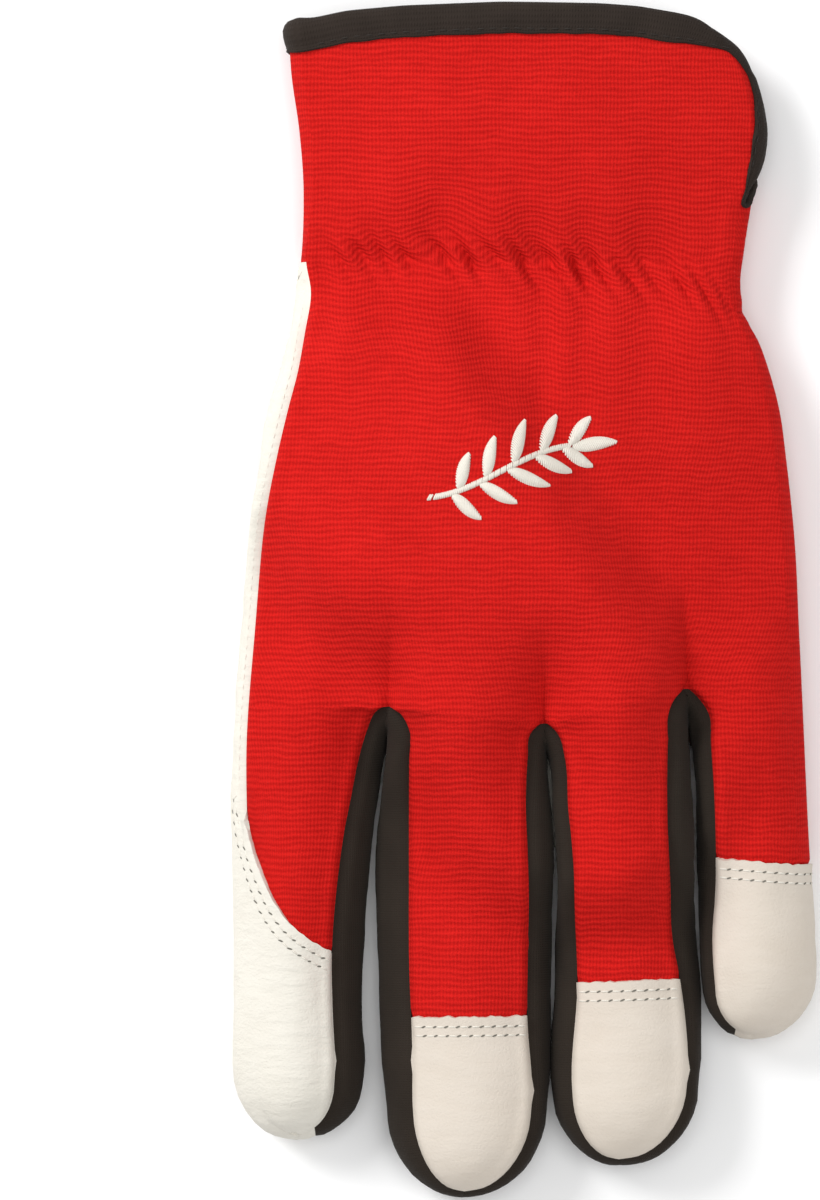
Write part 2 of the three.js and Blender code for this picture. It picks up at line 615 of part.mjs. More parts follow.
// Normals at the points, lengthened where the skin turns sharply so that a wall keeps its thickness
function pointNormals(faces, points) {
  const sums = points.map(() => new THREE.Vector3());
  const parts = points.map(() => []);
  for (const { corners } of faces) {
    const normal = faceNormal(corners, points);
    corners.forEach((id, i) => {
      const ahead = points[corners[(i + 1) % 3]].clone().sub(points[id]);
      const behind = points[corners[(i + 2) % 3]].clone().sub(points[id]);
      const weight = ahead.angleTo(behind);
      sums[id].addScaledVector(normal, weight);
      parts[id].push([normal, weight]);
    });
  }
  return sums.map((sum, id) => {
    const normal = sum.normalize();
    const total = parts[id].reduce((all, [, weight]) => all + weight, 0) || 1;
    const facing = parts[id].reduce((all, [n, weight]) => all + weight * n.dot(normal), 0) / total;
    return normal.divideScalar(Math.max(SHARPEST_FACING, facing));
  });
}

// The edges used by one face only, as pairs of points in that face's order
function openEdges(faces) {
  const used = new Map();
  for (const face of faces) {
    face.corners.forEach((id, i) => used.set(edgeKey(id, face.corners[(i + 1) % 3]), face));
  }
  return [...used].filter(([key]) => !used.has(key.split('>').reverse().join('>')))
    .map(([key, face]) => [...key.split('>').map(Number), face]);
}

// The way in from a panel's edge, at each point on it, scaled so that both edges there move by one
function waysIn(faces, points) {
  const ways = new Map();
  for (const [a, b, face] of openEdges(faces)) {
    const inward = faceNormal(face.corners, points).cross(points[b].clone().sub(points[a])).normalize();
    for (const id of [a, b]) ways.set(id, [...(ways.get(id) || []), inward]);
  }
  const joined = new Map();
  for (const [id, list] of ways) {
    const sum = list.reduce((all, way) => all.add(way), new THREE.Vector3());
    const length = sum.length() || 1;
    joined.set(id, sum.multiplyScalar(Math.min(SHARPEST_CORNER, list.length / length) / length));
  }
  return joined;
}

function geometryOf(points, triangles) {
  const geometry = new THREE.BufferGeometry();
  geometry.setAttribute('position', new THREE.Float32BufferAttribute(points.flatMap((p) => p.toArray()), 3));
  geometry.setIndex(triangles.flat());
  return geometry;
}

// A wall between two distances from the skin, closed round its open edges
function wall(faces, points, normals, top, bottom) {
  const ways = waysIn(faces, points);
  const ids = new Map();
  const corners = [];
  for (const face of faces) {
    for (const id of face.corners) {
      if (ids.has(id)) continue;
      ids.set(id, corners.length / 2);
      const base = points[id].clone();
      if (ways.has(id)) base.addScaledVector(ways.get(id), SEAM_GAP / 2);
      corners.push(base.clone().addScaledVector(normals[id], top));
      corners.push(base.addScaledVector(normals[id], bottom));
    }
  }
  const outer = (id) => ids.get(id) * 2;
  const inner = (id) => outer(id) + 1;
  const triangles = [];
  for (const { corners: [a, b, c] } of faces) {
    triangles.push([outer(a), outer(b), outer(c)], [inner(a), inner(c), inner(b)]);
  }
  for (const [a, b] of openEdges(faces)) {
    triangles.push([outer(b), outer(a), inner(a)], [outer(b), inner(a), inner(b)]);
  }
  return geometryOf(corners, triangles);
}

const normals = pointNormals(skin.faces, skin.points);
const facesOf = (name) => skin.faces.filter((face) => face.panel === name);
const panelWall = (name, thickness, rise = 0) => wall(facesOf(name), skin.points, normals, rise, -thickness);

// Booleans
function toSolid(geometry) {
  const bare = mergeVertices(geometry.clone().deleteAttribute('normal').deleteAttribute('uv'), 1e-5);
  return new wasm.Manifold(new wasm.Mesh({
    numProp: 3,
    vertProperties: new Float32Array(bare.attributes.position.array),
    triVerts: new Uint32Array(bare.index.array),
  }));
}

function toGeometry(solid) {
  const mesh = solid.getMesh();
  const geometry = new THREE.BufferGeometry();
  geometry.setAttribute('position', new THREE.BufferAttribute(mesh.vertProperties, 3));
  geometry.setIndex(new THREE.BufferAttribute(mesh.triVerts, 1));
  return geometry;
}

// Where a piece bends tightly round another panel's edge, it makes room for that panel
function makeRoom(geometry, name, thickness) {
  const room = wall(facesOf(name), skin.points, normals, EDGE_ROOM, -thickness - EDGE_ROOM);
  return toGeometry(toSolid(geometry).subtract(toSolid(room)));
}

const PRISM_HEIGHT = 2 * HAND_HEIGHT;

function prism(outline) {
  const shape = new THREE.Shape(outline);
  const geometry = new THREE.ExtrudeGeometry(shape, { depth: PRISM_HEIGHT, bevelEnabled: false });
  return toSolid(geometry.translate(0, 0, -PRISM_HEIGHT / 4));
}

// The thumb's hole, an ellipse in plan
function holeOutline(clearance) {
  const outline = [];
  for (let i = 0; i < 2 * THUMB_COLUMNS; i += 1) {
    const angle = i * Math.PI / THUMB_COLUMNS;
    outline.push(holeCentre.clone()
      .addScaledVector(thumbWay, Math.cos(angle) * (THUMB_HOLE_LENGTH / 2 + clearance))
      .addScaledVector(thumbAcross, Math.sin(angle) * (THUMB_WIDTH / 2 + clearance)));
  }
  return outline;
}

const palmPanel = toGeometry(toSolid(panelWall('palm_panel', LEATHER_WALL)).subtract(prism(holeOutline(0))));

// A patch is a second layer under the palm, cut to its outline
function palmPatch(outline) {
  const palm = skin.faces.filter((face) => face.part === 'palm');
  const layer = wall(palm, skin.points, normals, SEAM_GAP + PATCH_WALL, SEAM_GAP);
  const line = new PlanLine([...outline, outline[0]].map((row) => plan(row.along, row.at)), 2);
  return toGeometry(toSolid(layer).intersect(prism(line.points.slice(0, -1))));
}

// The thumb: rings that leave the hole, bend under it and lie flat on the floor to the tip
function thumbRings() {
  const near = holeCentre.clone().addScaledVector(thumbWay, THUMB_HOLE_LENGTH / 2 - SEAM_GAP);
  const top = palmLift + drapeHeight + LEATHER_WALL;
  const bendRun = THUMB_HOLE_LENGTH / 6;
  const reach = thumbTip.distanceTo(near);
  const rings = [];
  for (let row = 0; row <= THUMB_BEND_ROWS + THUMB_ROWS; row += 1) {
    const bend = Math.min(1, row / THUMB_BEND_ROWS);
    const turn = bend * Math.PI / 2;
    const turned = (bend - THUMB_DROP_SHARE) / (1 - THUMB_DROP_SHARE);
    const onward = Math.max(0, row - THUMB_BEND_ROWS) / THUMB_ROWS;
    const run = mix(bendRun * ease(turned), reach, 1 - (1 - onward) ** THUMB_CROWDING);
    const left = reach - run;
    const closed = Math.sqrt(1 - (1 - clamp(left / THUMB_TIP_ROUND)) ** 2);
    const sunk = (1 - closed) * THUMB_HEIGHT;
    const high = mix(top, THUMB_HEIGHT, clamp(bend / THUMB_DROP_SHARE)) - sunk * THUMB_TIP_DROP;
    const back = (THUMB_HOLE_LENGTH - 2 * SEAM_GAP) * Math.cos(turn);
    const down = (row < THUMB_BEND_ROWS ? THUMB_HEIGHT * Math.sin(turn) : high) * (bend ? 1 : 0);
    const half = (THUMB_WIDTH / 2 - SEAM_GAP) * closed;
    const square = mix(1, THUMB_SQUARENESS, bend);
    const ring = [];
    for (let c = 0; c <= THUMB_COLUMNS; c += 1) {
      const angle = c * 2 * Math.PI / THUMB_COLUMNS;
      const fat = (value) => Math.sign(value) * Math.abs(value) ** square;
      const depth = (1 - fat(Math.cos(angle))) / 2;
      const floor = row < THUMB_BEND_ROWS ? 0 : sunk * THUMB_TIP_RISE;
      const point = near.clone().addScaledVector(thumbWay, run - depth * back)
        .addScaledVector(thumbAcross, (c % THUMB_COLUMNS ? fat(Math.sin(angle)) : 0) * half);
      ring.push(lift3(point, Math.max(floor, high - depth * down)));
    }
    rings.push(ring);
  }
  return rings;
}

const rings = thumbRings();
const leatherFrom = rings.findIndex((ring) => {
  const middle = ring[THUMB_COLUMNS / 2];
  return thumbTip.distanceTo(new THREE.Vector2(middle.x, middle.y)) < THUMB_LEATHER_END;
});
addPatch(rings, (r, c) => {
  const under = Math.abs(c + 0.5 - THUMB_COLUMNS / 2) < THUMB_COLUMNS / 4 - 1;
  return under && r >= 1 && r < leatherFrom ? 'thumb_back' : 'thumb_leather';
}, 'thumb');
const thumbFaces = skin.faces.filter((face) => face.part === 'thumb');
const thumbNormals = pointNormals(thumbFaces, skin.points);
const thumbWall = (name, thickness) => wall(facesOf(name), skin.points, thumbNormals, 0, -thickness);

// From the cuff's open edge, the skin's points on the way into the cloth, all round the mouth and vent
function edgePaths() {
  const last = hand[0].back.length - 1;
  const end = VENT_ROWS;
  const inCloth = hand.slice(0, end + 2);
  const [first, next] = inCloth;
  const [closing, beyond] = inCloth.slice(-2);
  const ventRows = inCloth.slice(1, -2);
  return [
    ...first.back.map((point, c) => [point, next.back[Math.min(c, last - 1)]]),
    ...ventRows.map(({ back }) => back.slice(-4).reverse()),
    [closing.back.at(-1), beyond.back.at(-2)],
    ...closing.right.slice(1, -1).map((point, c) => [point, beyond.right[c + 1]]),
    [closing.palm[0], beyond.palm[1]],
    ...ventRows.reverse().map(({ palm }) => palm.slice(0, 4)),
    ...first.palm.map((point, c) => [point, next.palm[Math.max(c, 1)]]),
    ...first.left.slice(1, -1).map((point, c) => [point, next.left[c + 1]]),
  ];
}

// The place and the normal a given depth into the cloth along such a path
function inCloth(path, depth) {
  let left = depth;
  for (let i = 1; i < path.length; i += 1) {
    const step = path[i].distanceTo(path[i - 1]);
    if (left <= step || i === path.length - 1) {
      const share = left / step;
      const [a, b] = [normals[pointId(path[i - 1])], normals[pointId(path[i])]];
      return [path[i - 1].clone().lerp(path[i], share), a.clone().lerp(b, share)];
    }
    left -= step;
  }
  return null;
}

// The binding wraps the cuff's mouth and its vent: a folded strip swept round that open edge
function cuffBinding() {
  const loop = edgePaths();
  const ways = waysIn(skin.faces.filter((face) => face.part !== 'thumb'), skin.points);
  const reach = BINDING_GAP + BINDING_WALL;
  const profile = [
    [BINDING_WIDTH, BINDING_GAP], [BINDING_WIDTH, BINDING_GAP + BINDING_LIP * BINDING_WALL], [0, reach],
    [-reach, -CLOTH_WALL / 2], [0, -CLOTH_WALL - reach],
    [BINDING_WIDTH, -CLOTH_WALL - BINDING_GAP - BINDING_LIP * BINDING_WALL],
    [BINDING_WIDTH, -CLOTH_WALL - BINDING_GAP], [-BINDING_GAP, -CLOTH_WALL - BINDING_GAP],
    [-BINDING_GAP, BINDING_GAP],
  ];
  const points = loop.flatMap((path) => {
    const way = ways.get(pointId(path[0]));
    const stretch = way.length();
    return profile.map(([depth, out]) => {
      const [place, normal] = inCloth(path, Math.max(0, depth) * stretch);
      return place.addScaledVector(way, Math.min(0, depth)).addScaledVector(normal, out);
    });
  });
  const triangles = [];
  const count = profile.length;
  for (let i = 0; i < loop.length; i += 1) {
    const next = (i + 1) % loop.length;
    for (let j = 0; j < count; j += 1) {
      const [a, b] = [i * count + j, next * count + j];
      const [c, d] = [i * count + (j + 1) % count, next * count + (j + 1) % count];
      triangles.push([a, d, c], [a, b, d]);
    }
  }
  return geometryOf(points, triangles);
}

// The glove, shifted so that its origin is the middle of its box, on the floor
const glove = new THREE.Group();

function add(name, finish, geometry) {
  const shaped = geometry.toNonIndexed();
  shaped.computeVertexNormals();
  const mesh = new THREE.Mesh(shaped, new THREE.MeshStandardMaterial({ ...FINISHES[finish], metalness: 0 }));
  mesh.name = name;
  glove.add(mesh);
}

add('back_panel', 'cloth', panelWall('back_panel', CLOTH_WALL));
add('palm_panel', 'leather', palmPanel);
add('palm_cuff', 'cloth', panelWall('palm_cuff', CLOTH_WALL));
for (const { name } of FINGERS.slice(1)) {
  add(`${name}_tip_cap`, 'leather', panelWall(`${name}_tip_cap`, LEATHER_WALL, CAP_RISE));
}
for (const name of STRIPS) {
  const strip = makeRoom(panelWall(name, KNIT_WALL), 'palm_panel', LEATHER_WALL);
  add(name, 'knit', makeRoom(strip, 'back_panel', CLOTH_WALL));
}
add('cuff_binding', 'binding',
  makeRoom(makeRoom(cuffBinding(), 'back_panel', CLOTH_WALL), 'palm_cuff', CLOTH_WALL));
add('thumb_leather', 'leather', thumbWall('thumb_leather', LEATHER_WALL));
add('thumb_back', 'cloth', thumbWall('thumb_back', CLOTH_WALL));
add('heel_patch', 'patch', palmPatch(HEEL_OUTLINE));
add('knuckle_patch', 'patch', palmPatch(KNUCKLE_OUTLINE));

const box = new THREE.Box3().setFromObject(glove);
const centre = box.getCenter(new THREE.Vector3());
glove.position.set(-centre.x, -centre.y, -box.min.z);
glove.updateMatrixWorld(true);

export default glove;
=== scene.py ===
import copy
import math

import bmesh
import bpy
import numpy as np
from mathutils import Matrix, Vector, noise
from mathutils.bvhtree import BVHTree
from mathutils.kdtree import KDTree


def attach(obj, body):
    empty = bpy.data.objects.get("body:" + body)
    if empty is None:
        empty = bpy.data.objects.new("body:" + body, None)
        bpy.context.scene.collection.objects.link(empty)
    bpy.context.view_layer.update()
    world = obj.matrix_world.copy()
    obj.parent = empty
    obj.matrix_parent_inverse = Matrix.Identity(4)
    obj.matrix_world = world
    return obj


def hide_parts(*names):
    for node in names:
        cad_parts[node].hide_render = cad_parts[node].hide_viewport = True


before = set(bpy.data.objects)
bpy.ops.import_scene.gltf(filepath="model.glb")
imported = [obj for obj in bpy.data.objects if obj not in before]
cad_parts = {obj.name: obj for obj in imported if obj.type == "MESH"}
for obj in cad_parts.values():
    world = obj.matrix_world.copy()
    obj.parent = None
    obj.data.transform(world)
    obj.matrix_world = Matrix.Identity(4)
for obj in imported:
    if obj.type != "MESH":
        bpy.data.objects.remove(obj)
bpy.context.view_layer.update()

# Lengths in this file are millimetres, as on a sewing pattern, until a mesh is made of them
MM = 0.001
GLOVE_LENGTH = 250
GLOVE_WIDTH = 121
HAND_HEIGHT = 28
FINGER_HEIGHT = 18
FINGERTIP_ROUND = 14
PALM_EDGE_INSET = 4
PALM_EDGE_RISE = 1
CLOTH_WALL = 1.0
LEATHER_WALL = 1.1
PATCH_WALL = 1.0
PALM_LIFT = 1.3
WEB_RUN = 12
INDEX_BOW = 8.8
THUMB_WIDTH = 32
THUMB_HEIGHT = 12
THUMB_HOLE_LENGTH = 30
THUMB_TIP_ROUND = 15
THUMB_LEATHER_END = 51
THUMB_POINT = 9
SEAM_GAP = 0.3
ROOM_OVER_THUMB = 0.3
DRAPE_MARGIN = 4
DRAPE_SLOPE = 18
DRAPE_HEIGHT = THUMB_HEIGHT + PATCH_WALL + 2 * SEAM_GAP - PALM_LIFT + ROOM_OVER_THUMB

# The middle of the part's box, seen from the hand's middle line and the floor
ROW_SHIFT = np.array([-0.788, -0.004, 0.018])

# How finely the skin is divided
BACK_COLUMNS = 50
PALM_COLUMNS = 20
SIDE_COLUMNS = 12
VENT_ROWS = 30
WRIST_ROWS = 36
PALM_ROWS = 84
BASE_ROWS = 50
TIP_ROWS = 20
THUMB_COLUMNS = 64
THUMB_BEND_ROWS = 20
THUMB_ROWS = 44
TIP_ARC_STEPS = 5
PALM_EDGE_STEPS = 40
# The vent's edge: over how many rows it climbs to the back's seam, and how close it comes there
MOUTH_CLIMB_ROWS = 12
BELOW_VENT_ROWS = 14
AT_MOUTH = 0.2
AT_VENT_END = 0.05

# How the rows crowd together at the webs, the tips and the knuckles, as in the part
WEB_CROWDING = 1.4
TIP_CROWDING = 1.5
KNUCKLE_CROWDING = 1.4
BOW_CROWDING = 0.7
BASE_SHARES = (np.arange(BASE_ROWS + 1) / BASE_ROWS) ** WEB_CROWDING
TIP_SHARES = 1 - (1 - np.arange(1, TIP_ROWS + 1) / TIP_ROWS) ** TIP_CROWDING

# Pattern tables. Along is a share of GLOVE_LENGTH from the cuff's edge towards the fingertips.
# A place across is a share of GLOVE_WIDTH from the hand's middle line.
# Edges: along, the cloth back's seam, and the outline seen from above
EDGES = {
    "radial": [
        (0.02, -0.381, -0.402), (0.057, -0.378, -0.398), (0.107, -0.364, -0.384), (0.157, -0.36, -0.376),
        (0.217, -0.372, -0.379), (0.241, -0.364, -0.389), (0.274, -0.376, -0.396), (0.308, -0.388, -0.416),
        (0.341, -0.405, -0.438), (0.375, -0.422, -0.448), (0.425, -0.443, -0.464), (0.525, -0.464, -0.484),
        (0.625, -0.479, -0.498), (0.676, -0.478, -0.5), (0.751, -0.471, -0.498), (0.834, -0.466, -0.497),
        (0.893, -0.462, -0.498),
    ],
    "index_right": [
        (0.594, -0.25, None), (0.609, -0.264, None), (0.634, -0.278, -0.238), (0.663, -0.29, -0.247),
        (0.692, -0.302, -0.255), (0.726, -0.312, -0.262), (0.801, -0.324, -0.273), (0.843, -0.322, -0.276),
        (0.901, -0.319, -0.272),
    ],
    "middle_left": [
        (0.594, -0.214, None), (0.609, -0.197, None), (0.634, -0.197, -0.234), (0.663, -0.197, -0.241),
        (0.692, -0.197, -0.249), (0.726, -0.197, -0.252), (0.801, -0.197, -0.247), (0.885, -0.191, -0.24),
        (0.922, -0.191, -0.233),
    ],
    "middle_right": [
        (0.611, 0.019, None), (0.63, 0.014, 0.042), (0.667, 0.01, 0.049), (0.709, 0.013, 0.055),
        (0.793, 0.015, 0.053), (0.847, 0.014, 0.052), (0.922, 0.022, 0.046),
    ],
    "ring_left": [
        (0.611, 0.057, None), (0.631, 0.07, 0.047), (0.672, 0.076, 0.054), (0.705, 0.083, 0.06),
        (0.776, 0.09, 0.059), (0.818, 0.093, 0.058), (0.91, 0.084, 0.053),
    ],
    "ring_right": [
        (0.581, 0.269, None), (0.594, 0.257, None), (0.617, 0.255, 0.288), (0.667, 0.253, 0.295),
        (0.742, 0.26, 0.299), (0.78, 0.264, 0.303), (0.816, 0.278, 0.309), (0.853, 0.288, 0.313),
        (0.901, 0.291, 0.309),
    ],
    "little_left": [
        (0.581, 0.3, None), (0.594, 0.319, None), (0.617, 0.322, 0.294), (0.667, 0.329, 0.301),
        (0.742, 0.331, 0.305), (0.78, 0.325, 0.309), (0.822, 0.33, 0.315),
    ],
    "ulnar": [
        (0.03, 0.337, 0.346), (0.048, 0.368, 0.377), (0.059, 0.378, 0.389), (0.074, 0.389, 0.401),
        (0.1, 0.398, 0.413), (0.125, 0.397, 0.414), (0.154, 0.384, 0.402), (0.17, 0.377, 0.397),
        (0.207, 0.368, 0.385), (0.235, 0.36, 0.379), (0.262, 0.371, 0.386), (0.283, 0.391, 0.41),
        (0.308, 0.409, 0.429), (0.341, 0.426, 0.447), (0.383, 0.438, 0.459), (0.441, 0.45, 0.471),
        (0.525, 0.459, 0.479), (0.625, 0.469, 0.49), (0.719, 0.479, 0.5), (0.793, 0.49, 0.51),
        (0.814, 0.488, 0.509),
    ],
}
# Fingers: edges, where the fingertip leather starts on them, crown at the knuckles, and the tips of the
# seam and the outline
FINGERS = [
    ("index", "radial", "index_right", 0.676, 0.795, 0.74, (0.946, -0.386), (0.951, -0.39)),
    ("middle", "middle_left", "middle_right", 0.848, 0.847, 0.84, (0.995, -0.098), (1.0, -0.103)),
    ("ring", "ring_left", "ring_right", 0.819, 0.816, 0.83, (0.968, 0.169), (0.973, 0.178)),
    ("little", "little_left", "ulnar", 0.715, 0.721, 0.72, (0.863, 0.4), (0.867, 0.4)),
]
# Webs: where each starts on the back, folds between the fingers, and ends on the palm
CROTCHES = [
    ((0.589, -0.231), (0.608, -0.231), (0.611, -0.232)),
    ((0.603, 0.038), (0.622, 0.041), (0.625, 0.042)),
    ((0.574, 0.284), (0.593, 0.287), (0.596, 0.288)),
]
# Lines across: a share from the index side to the little finger's side, and along
CUFF_EDGE = [
    (0, 0.02), (0.11, 0.012), (0.25, 0.008), (0.48, 0.005), (0.72, 0.006), (0.81, 0.008), (0.9, 0.013),
    (0.94, 0.0157), (0.97, 0.0203), (1, 0.03),
]
VENT_LINE = [(0, 0.14), (0.5, 0.145), (1, 0.17)]
BACK_WRIST = [(0, 0.217), (0.12, 0.209), (0.5, 0.214), (0.9, 0.236), (1, 0.258)]
PALM_WRIST = [(0, 0.217), (0.3, 0.17), (0.65, 0.174), (1, 0.258)]
KNUCKLE_LINE_START = 0.589
KNUCKLE_LINE_END = 0.575
# The back's height: along, at its middle, and at its edges, as shares of HAND_HEIGHT
HAND_PROFILE = [
    (0, 0.62, 0.46), (0.1, 0.64, 0.46), (0.17, 0.6, 0.45), (0.217, 0.52, 0.43), (0.25, 0.62, 0.44),
    (0.3, 0.78, 0.47), (0.38, 0.9, 0.5), (0.48, 0.93, 0.51), (0.6, 0.82, 0.5),
]
# Where seams and outlines lie, as shares of the height there, and where the palm's lift ends
SEAM_HEIGHT = 0.78
SIDE_HEIGHT = 0.5
FINGERTIP_HEIGHT = 0.5
BACK_DRAPE = 0.75
KNUCKLE_FADE = 26
LIFT_END = 0.7
LIFT_FADE = 0.08
# Powers that shape the sections: a larger one is flatter in its middle, and the thumb's squares its corners
BACK_SQUARENESS = 2.2
HAND_PALM_FLATNESS = 12
FINGER_PALM_FLATNESS = 4
THUMB_SQUARENESS = 0.72
# The thumb's hole and tip, and the two patches' outlines: along, across
THUMB_HOLE = (0.375, -0.253)
THUMB_TIP = (0.701, 0.181)
HEEL_OUTLINE = [
    (0.276, 0.203), (0.291, 0.316), (0.341, 0.39), (0.4, 0.405), (0.462, 0.367), (0.508, 0.29),
    (0.529, 0.186), (0.508, 0.103), (0.458, 0.059), (0.4, 0.045), (0.333, 0.066), (0.291, 0.117),
]
KNUCKLE_OUTLINE = [
    (0.557, 0.221), (0.546, 0.307), (0.557, 0.393), (0.6, 0.431), (0.646, 0.421), (0.674, 0.379),
    (0.663, 0.338), (0.606, 0.279), (0.655, 0.245), (0.709, 0.203), (0.734, 0.155), (0.722, 0.103),
    (0.676, 0.079), (0.617, 0.086), (0.575, 0.134),
]


# Small helpers
def plan(along, at):
    return np.array([at * GLOVE_WIDTH, (0.5 - along) * GLOVE_LENGTH])


def along_at(y):
    return 0.5 - y / GLOVE_LENGTH


def mix(a, b, share):
    return a + (b - a) * share


def ease(share):
    held = np.clip(share, 0, 1)
    return held * held * (3 - 2 * held)


def look_up(table, value, column=1):
    return np.interp(value, [row[0] for row in table], [row[column] for row in table])


def unit(vectors):
    """Vectors in their own direction, one long."""
    return vectors / np.linalg.norm(vectors, axis=-1, keepdims=True)


def lengths_along(points):
    """The length from a line's first point to each of its points."""
    return np.concatenate([[0], np.cumsum(np.linalg.norm(np.diff(points, axis=0), axis=1))])


class PlanLine:
    """A smooth line through points in plan."""

    def __init__(self, corners, steps=8):
        corners = np.array(corners, dtype=float)
        spans = np.linalg.norm(np.diff(corners, axis=0), axis=1)
        ways = np.diff(corners, axis=0) / spans[:, None]
        slopes = np.vstack([ways[:1], np.zeros((len(corners) - 2, 2)), ways[-1:]])
        for i in range(1, len(corners) - 1):
            slopes[i] = (ways[i] * spans[i - 1] + ways[i - 1] * spans[i]) / (spans[i - 1] + spans[i])
        points = [corners[0]]
        for i, span in enumerate(spans):
            for step in range(1, steps + 1):
                t = step / steps
                points.append(
                    corners[i] * (2 * t**3 - 3 * t**2 + 1)
                    + slopes[i] * (t**3 - 2 * t**2 + t) * span
                    + corners[i + 1] * (3 * t**2 - 2 * t**3)
                    + slopes[i + 1] * (t**3 - t**2) * span
                )
        self.points = np.array(points)
        self.lengths = lengths_along(self.points)
        self.length = self.lengths[-1]

    def at(self, length):
        x = np.interp(length, self.lengths, self.points[:, 0])
        return np.stack([x, np.interp(length, self.lengths, self.points[:, 1])], axis=-1)

    def length_at(self, along):
        return np.interp(-(0.5 - along) * GLOVE_LENGTH, -self.points[:, 1], self.lengths)


def tip_arc(start, tip):
    angles = np.arange(1, TIP_ARC_STEPS + 1) / TIP_ARC_STEPS * math.pi / 2
    return [np.array([mix(tip[0], start[0], math.cos(a)), mix(start[1], tip[1], math.sin(a))])
            for a in angles]


def palm_edge(side, handed, web, first):
    """The palm's edge lies inside the outline, and closes in on the web that it starts from."""
    corners = [web] if web is not None else []
    for step in range(len(corners), PALM_EDGE_STEPS):
        length = mix(first, side.length, step / PALM_EDGE_STEPS)
        way = side.at(min(length + 0.5, side.length)) - side.at(max(length - 0.5, 0))
        inward = np.array([-way[1], way[0]]) / np.linalg.norm(way) * handed
        grown = math.sqrt(min(1, (length - first) / WEB_RUN)) if web is not None else 1
        corners.append(side.at(length) + inward * PALM_EDGE_INSET * grown)
    return PlanLine([*corners, side.points[-1] + [0, PALM_EDGE_INSET]], 1)


def edge_lines(name, finger, handed, crotch):
    seam = [plan(row[0], row[1]) for row in EDGES[name]]
    side = [plan(row[0], row[2]) for row in EDGES[name] if row[2] is not None]
    if crotch:
        seam.insert(0, plan(*crotch[0]))
        side.insert(0, plan(*crotch[1]))
    seam += tip_arc(seam[-1], plan(*finger[6]))
    side += tip_arc(side[-1], plan(*finger[7]))
    outline = PlanLine(side)
    web = plan(*crotch[2]) if crotch else None
    first = outline.length_at(crotch[2][0]) if crotch else 0
    return PlanLine(seam), outline, palm_edge(outline, handed, web, first)


def stations(line, start, cap):
    first, middle = line.length_at(start), line.length_at(cap)
    return line.at(np.concatenate([mix(first, middle, BASE_SHARES), mix(middle, line.length, TIP_SHARES)]))


# Heights
HOLE_CENTRE = plan(*THUMB_HOLE)
THUMB_END = plan(*THUMB_TIP)
THUMB_REACH = np.linalg.norm(THUMB_END - HOLE_CENTRE)
THUMB_WAY = (THUMB_END - HOLE_CENTRE) / THUMB_REACH
THUMB_ACROSS = np.array([-THUMB_WAY[1], THUMB_WAY[0]])


def drape(place):
    """How far the thumb under it raises the palm."""
    reach = THUMB_REACH - THUMB_WIDTH / 2
    share = np.clip((place[..., :2] - HOLE_CENTRE) @ THUMB_WAY / reach, 0, 1)
    nearest = HOLE_CENTRE + share[..., None] * reach * THUMB_WAY
    beyond = np.linalg.norm(place[..., :2] - nearest, axis=-1) - THUMB_WIDTH / 2 - DRAPE_MARGIN
    return DRAPE_HEIGHT * (1 - ease(beyond / DRAPE_SLOPE))


def palm_height(place, rise):
    lift = PALM_LIFT * (1 - ease((along_at(place[..., 1]) - LIFT_END) / LIFT_FADE))
    return lift + drape(place) + PALM_EDGE_RISE * rise


def hand_height(place, across):
    along = along_at(place[..., 1])
    middle = look_up(HAND_PROFILE, along, 1) * HAND_HEIGHT
    edge = look_up(HAND_PROFILE, along, 2) * HAND_HEIGHT
    dome = 1 - np.abs(2 * across - 1) ** BACK_SQUARENESS
    return mix(edge, middle, dome) + BACK_DRAPE * drape(place)


def tip_fade(distance):
    return np.sqrt(1 - (1 - np.clip(distance / FINGERTIP_ROUND, 0, 1)) ** 2)


def lifted(place, height):
    return np.concatenate([place, np.broadcast_to(height, place.shape[:-1])[..., None]], axis=-1)


def side_arc(top, side, bottom, half=0.5):
    """The rounded wall from a back edge through the outline to a palm edge, its middle column at half."""
    middle = lifted(side, mix(bottom[..., 2], top[..., 2], SIDE_HEIGHT))
    control = 2 * middle - 0.5 * top - 0.5 * bottom
    t = (np.arange(SIDE_COLUMNS + 1) / SIDE_COLUMNS)[None, :, None]
    t = np.where(t < 0.5, 2 * t * half, mix(half, 1, 2 * t - 1))
    return (1 - t) ** 2 * top[:, None] + 2 * t * (1 - t) * control[:, None] + t**2 * bottom[:, None]


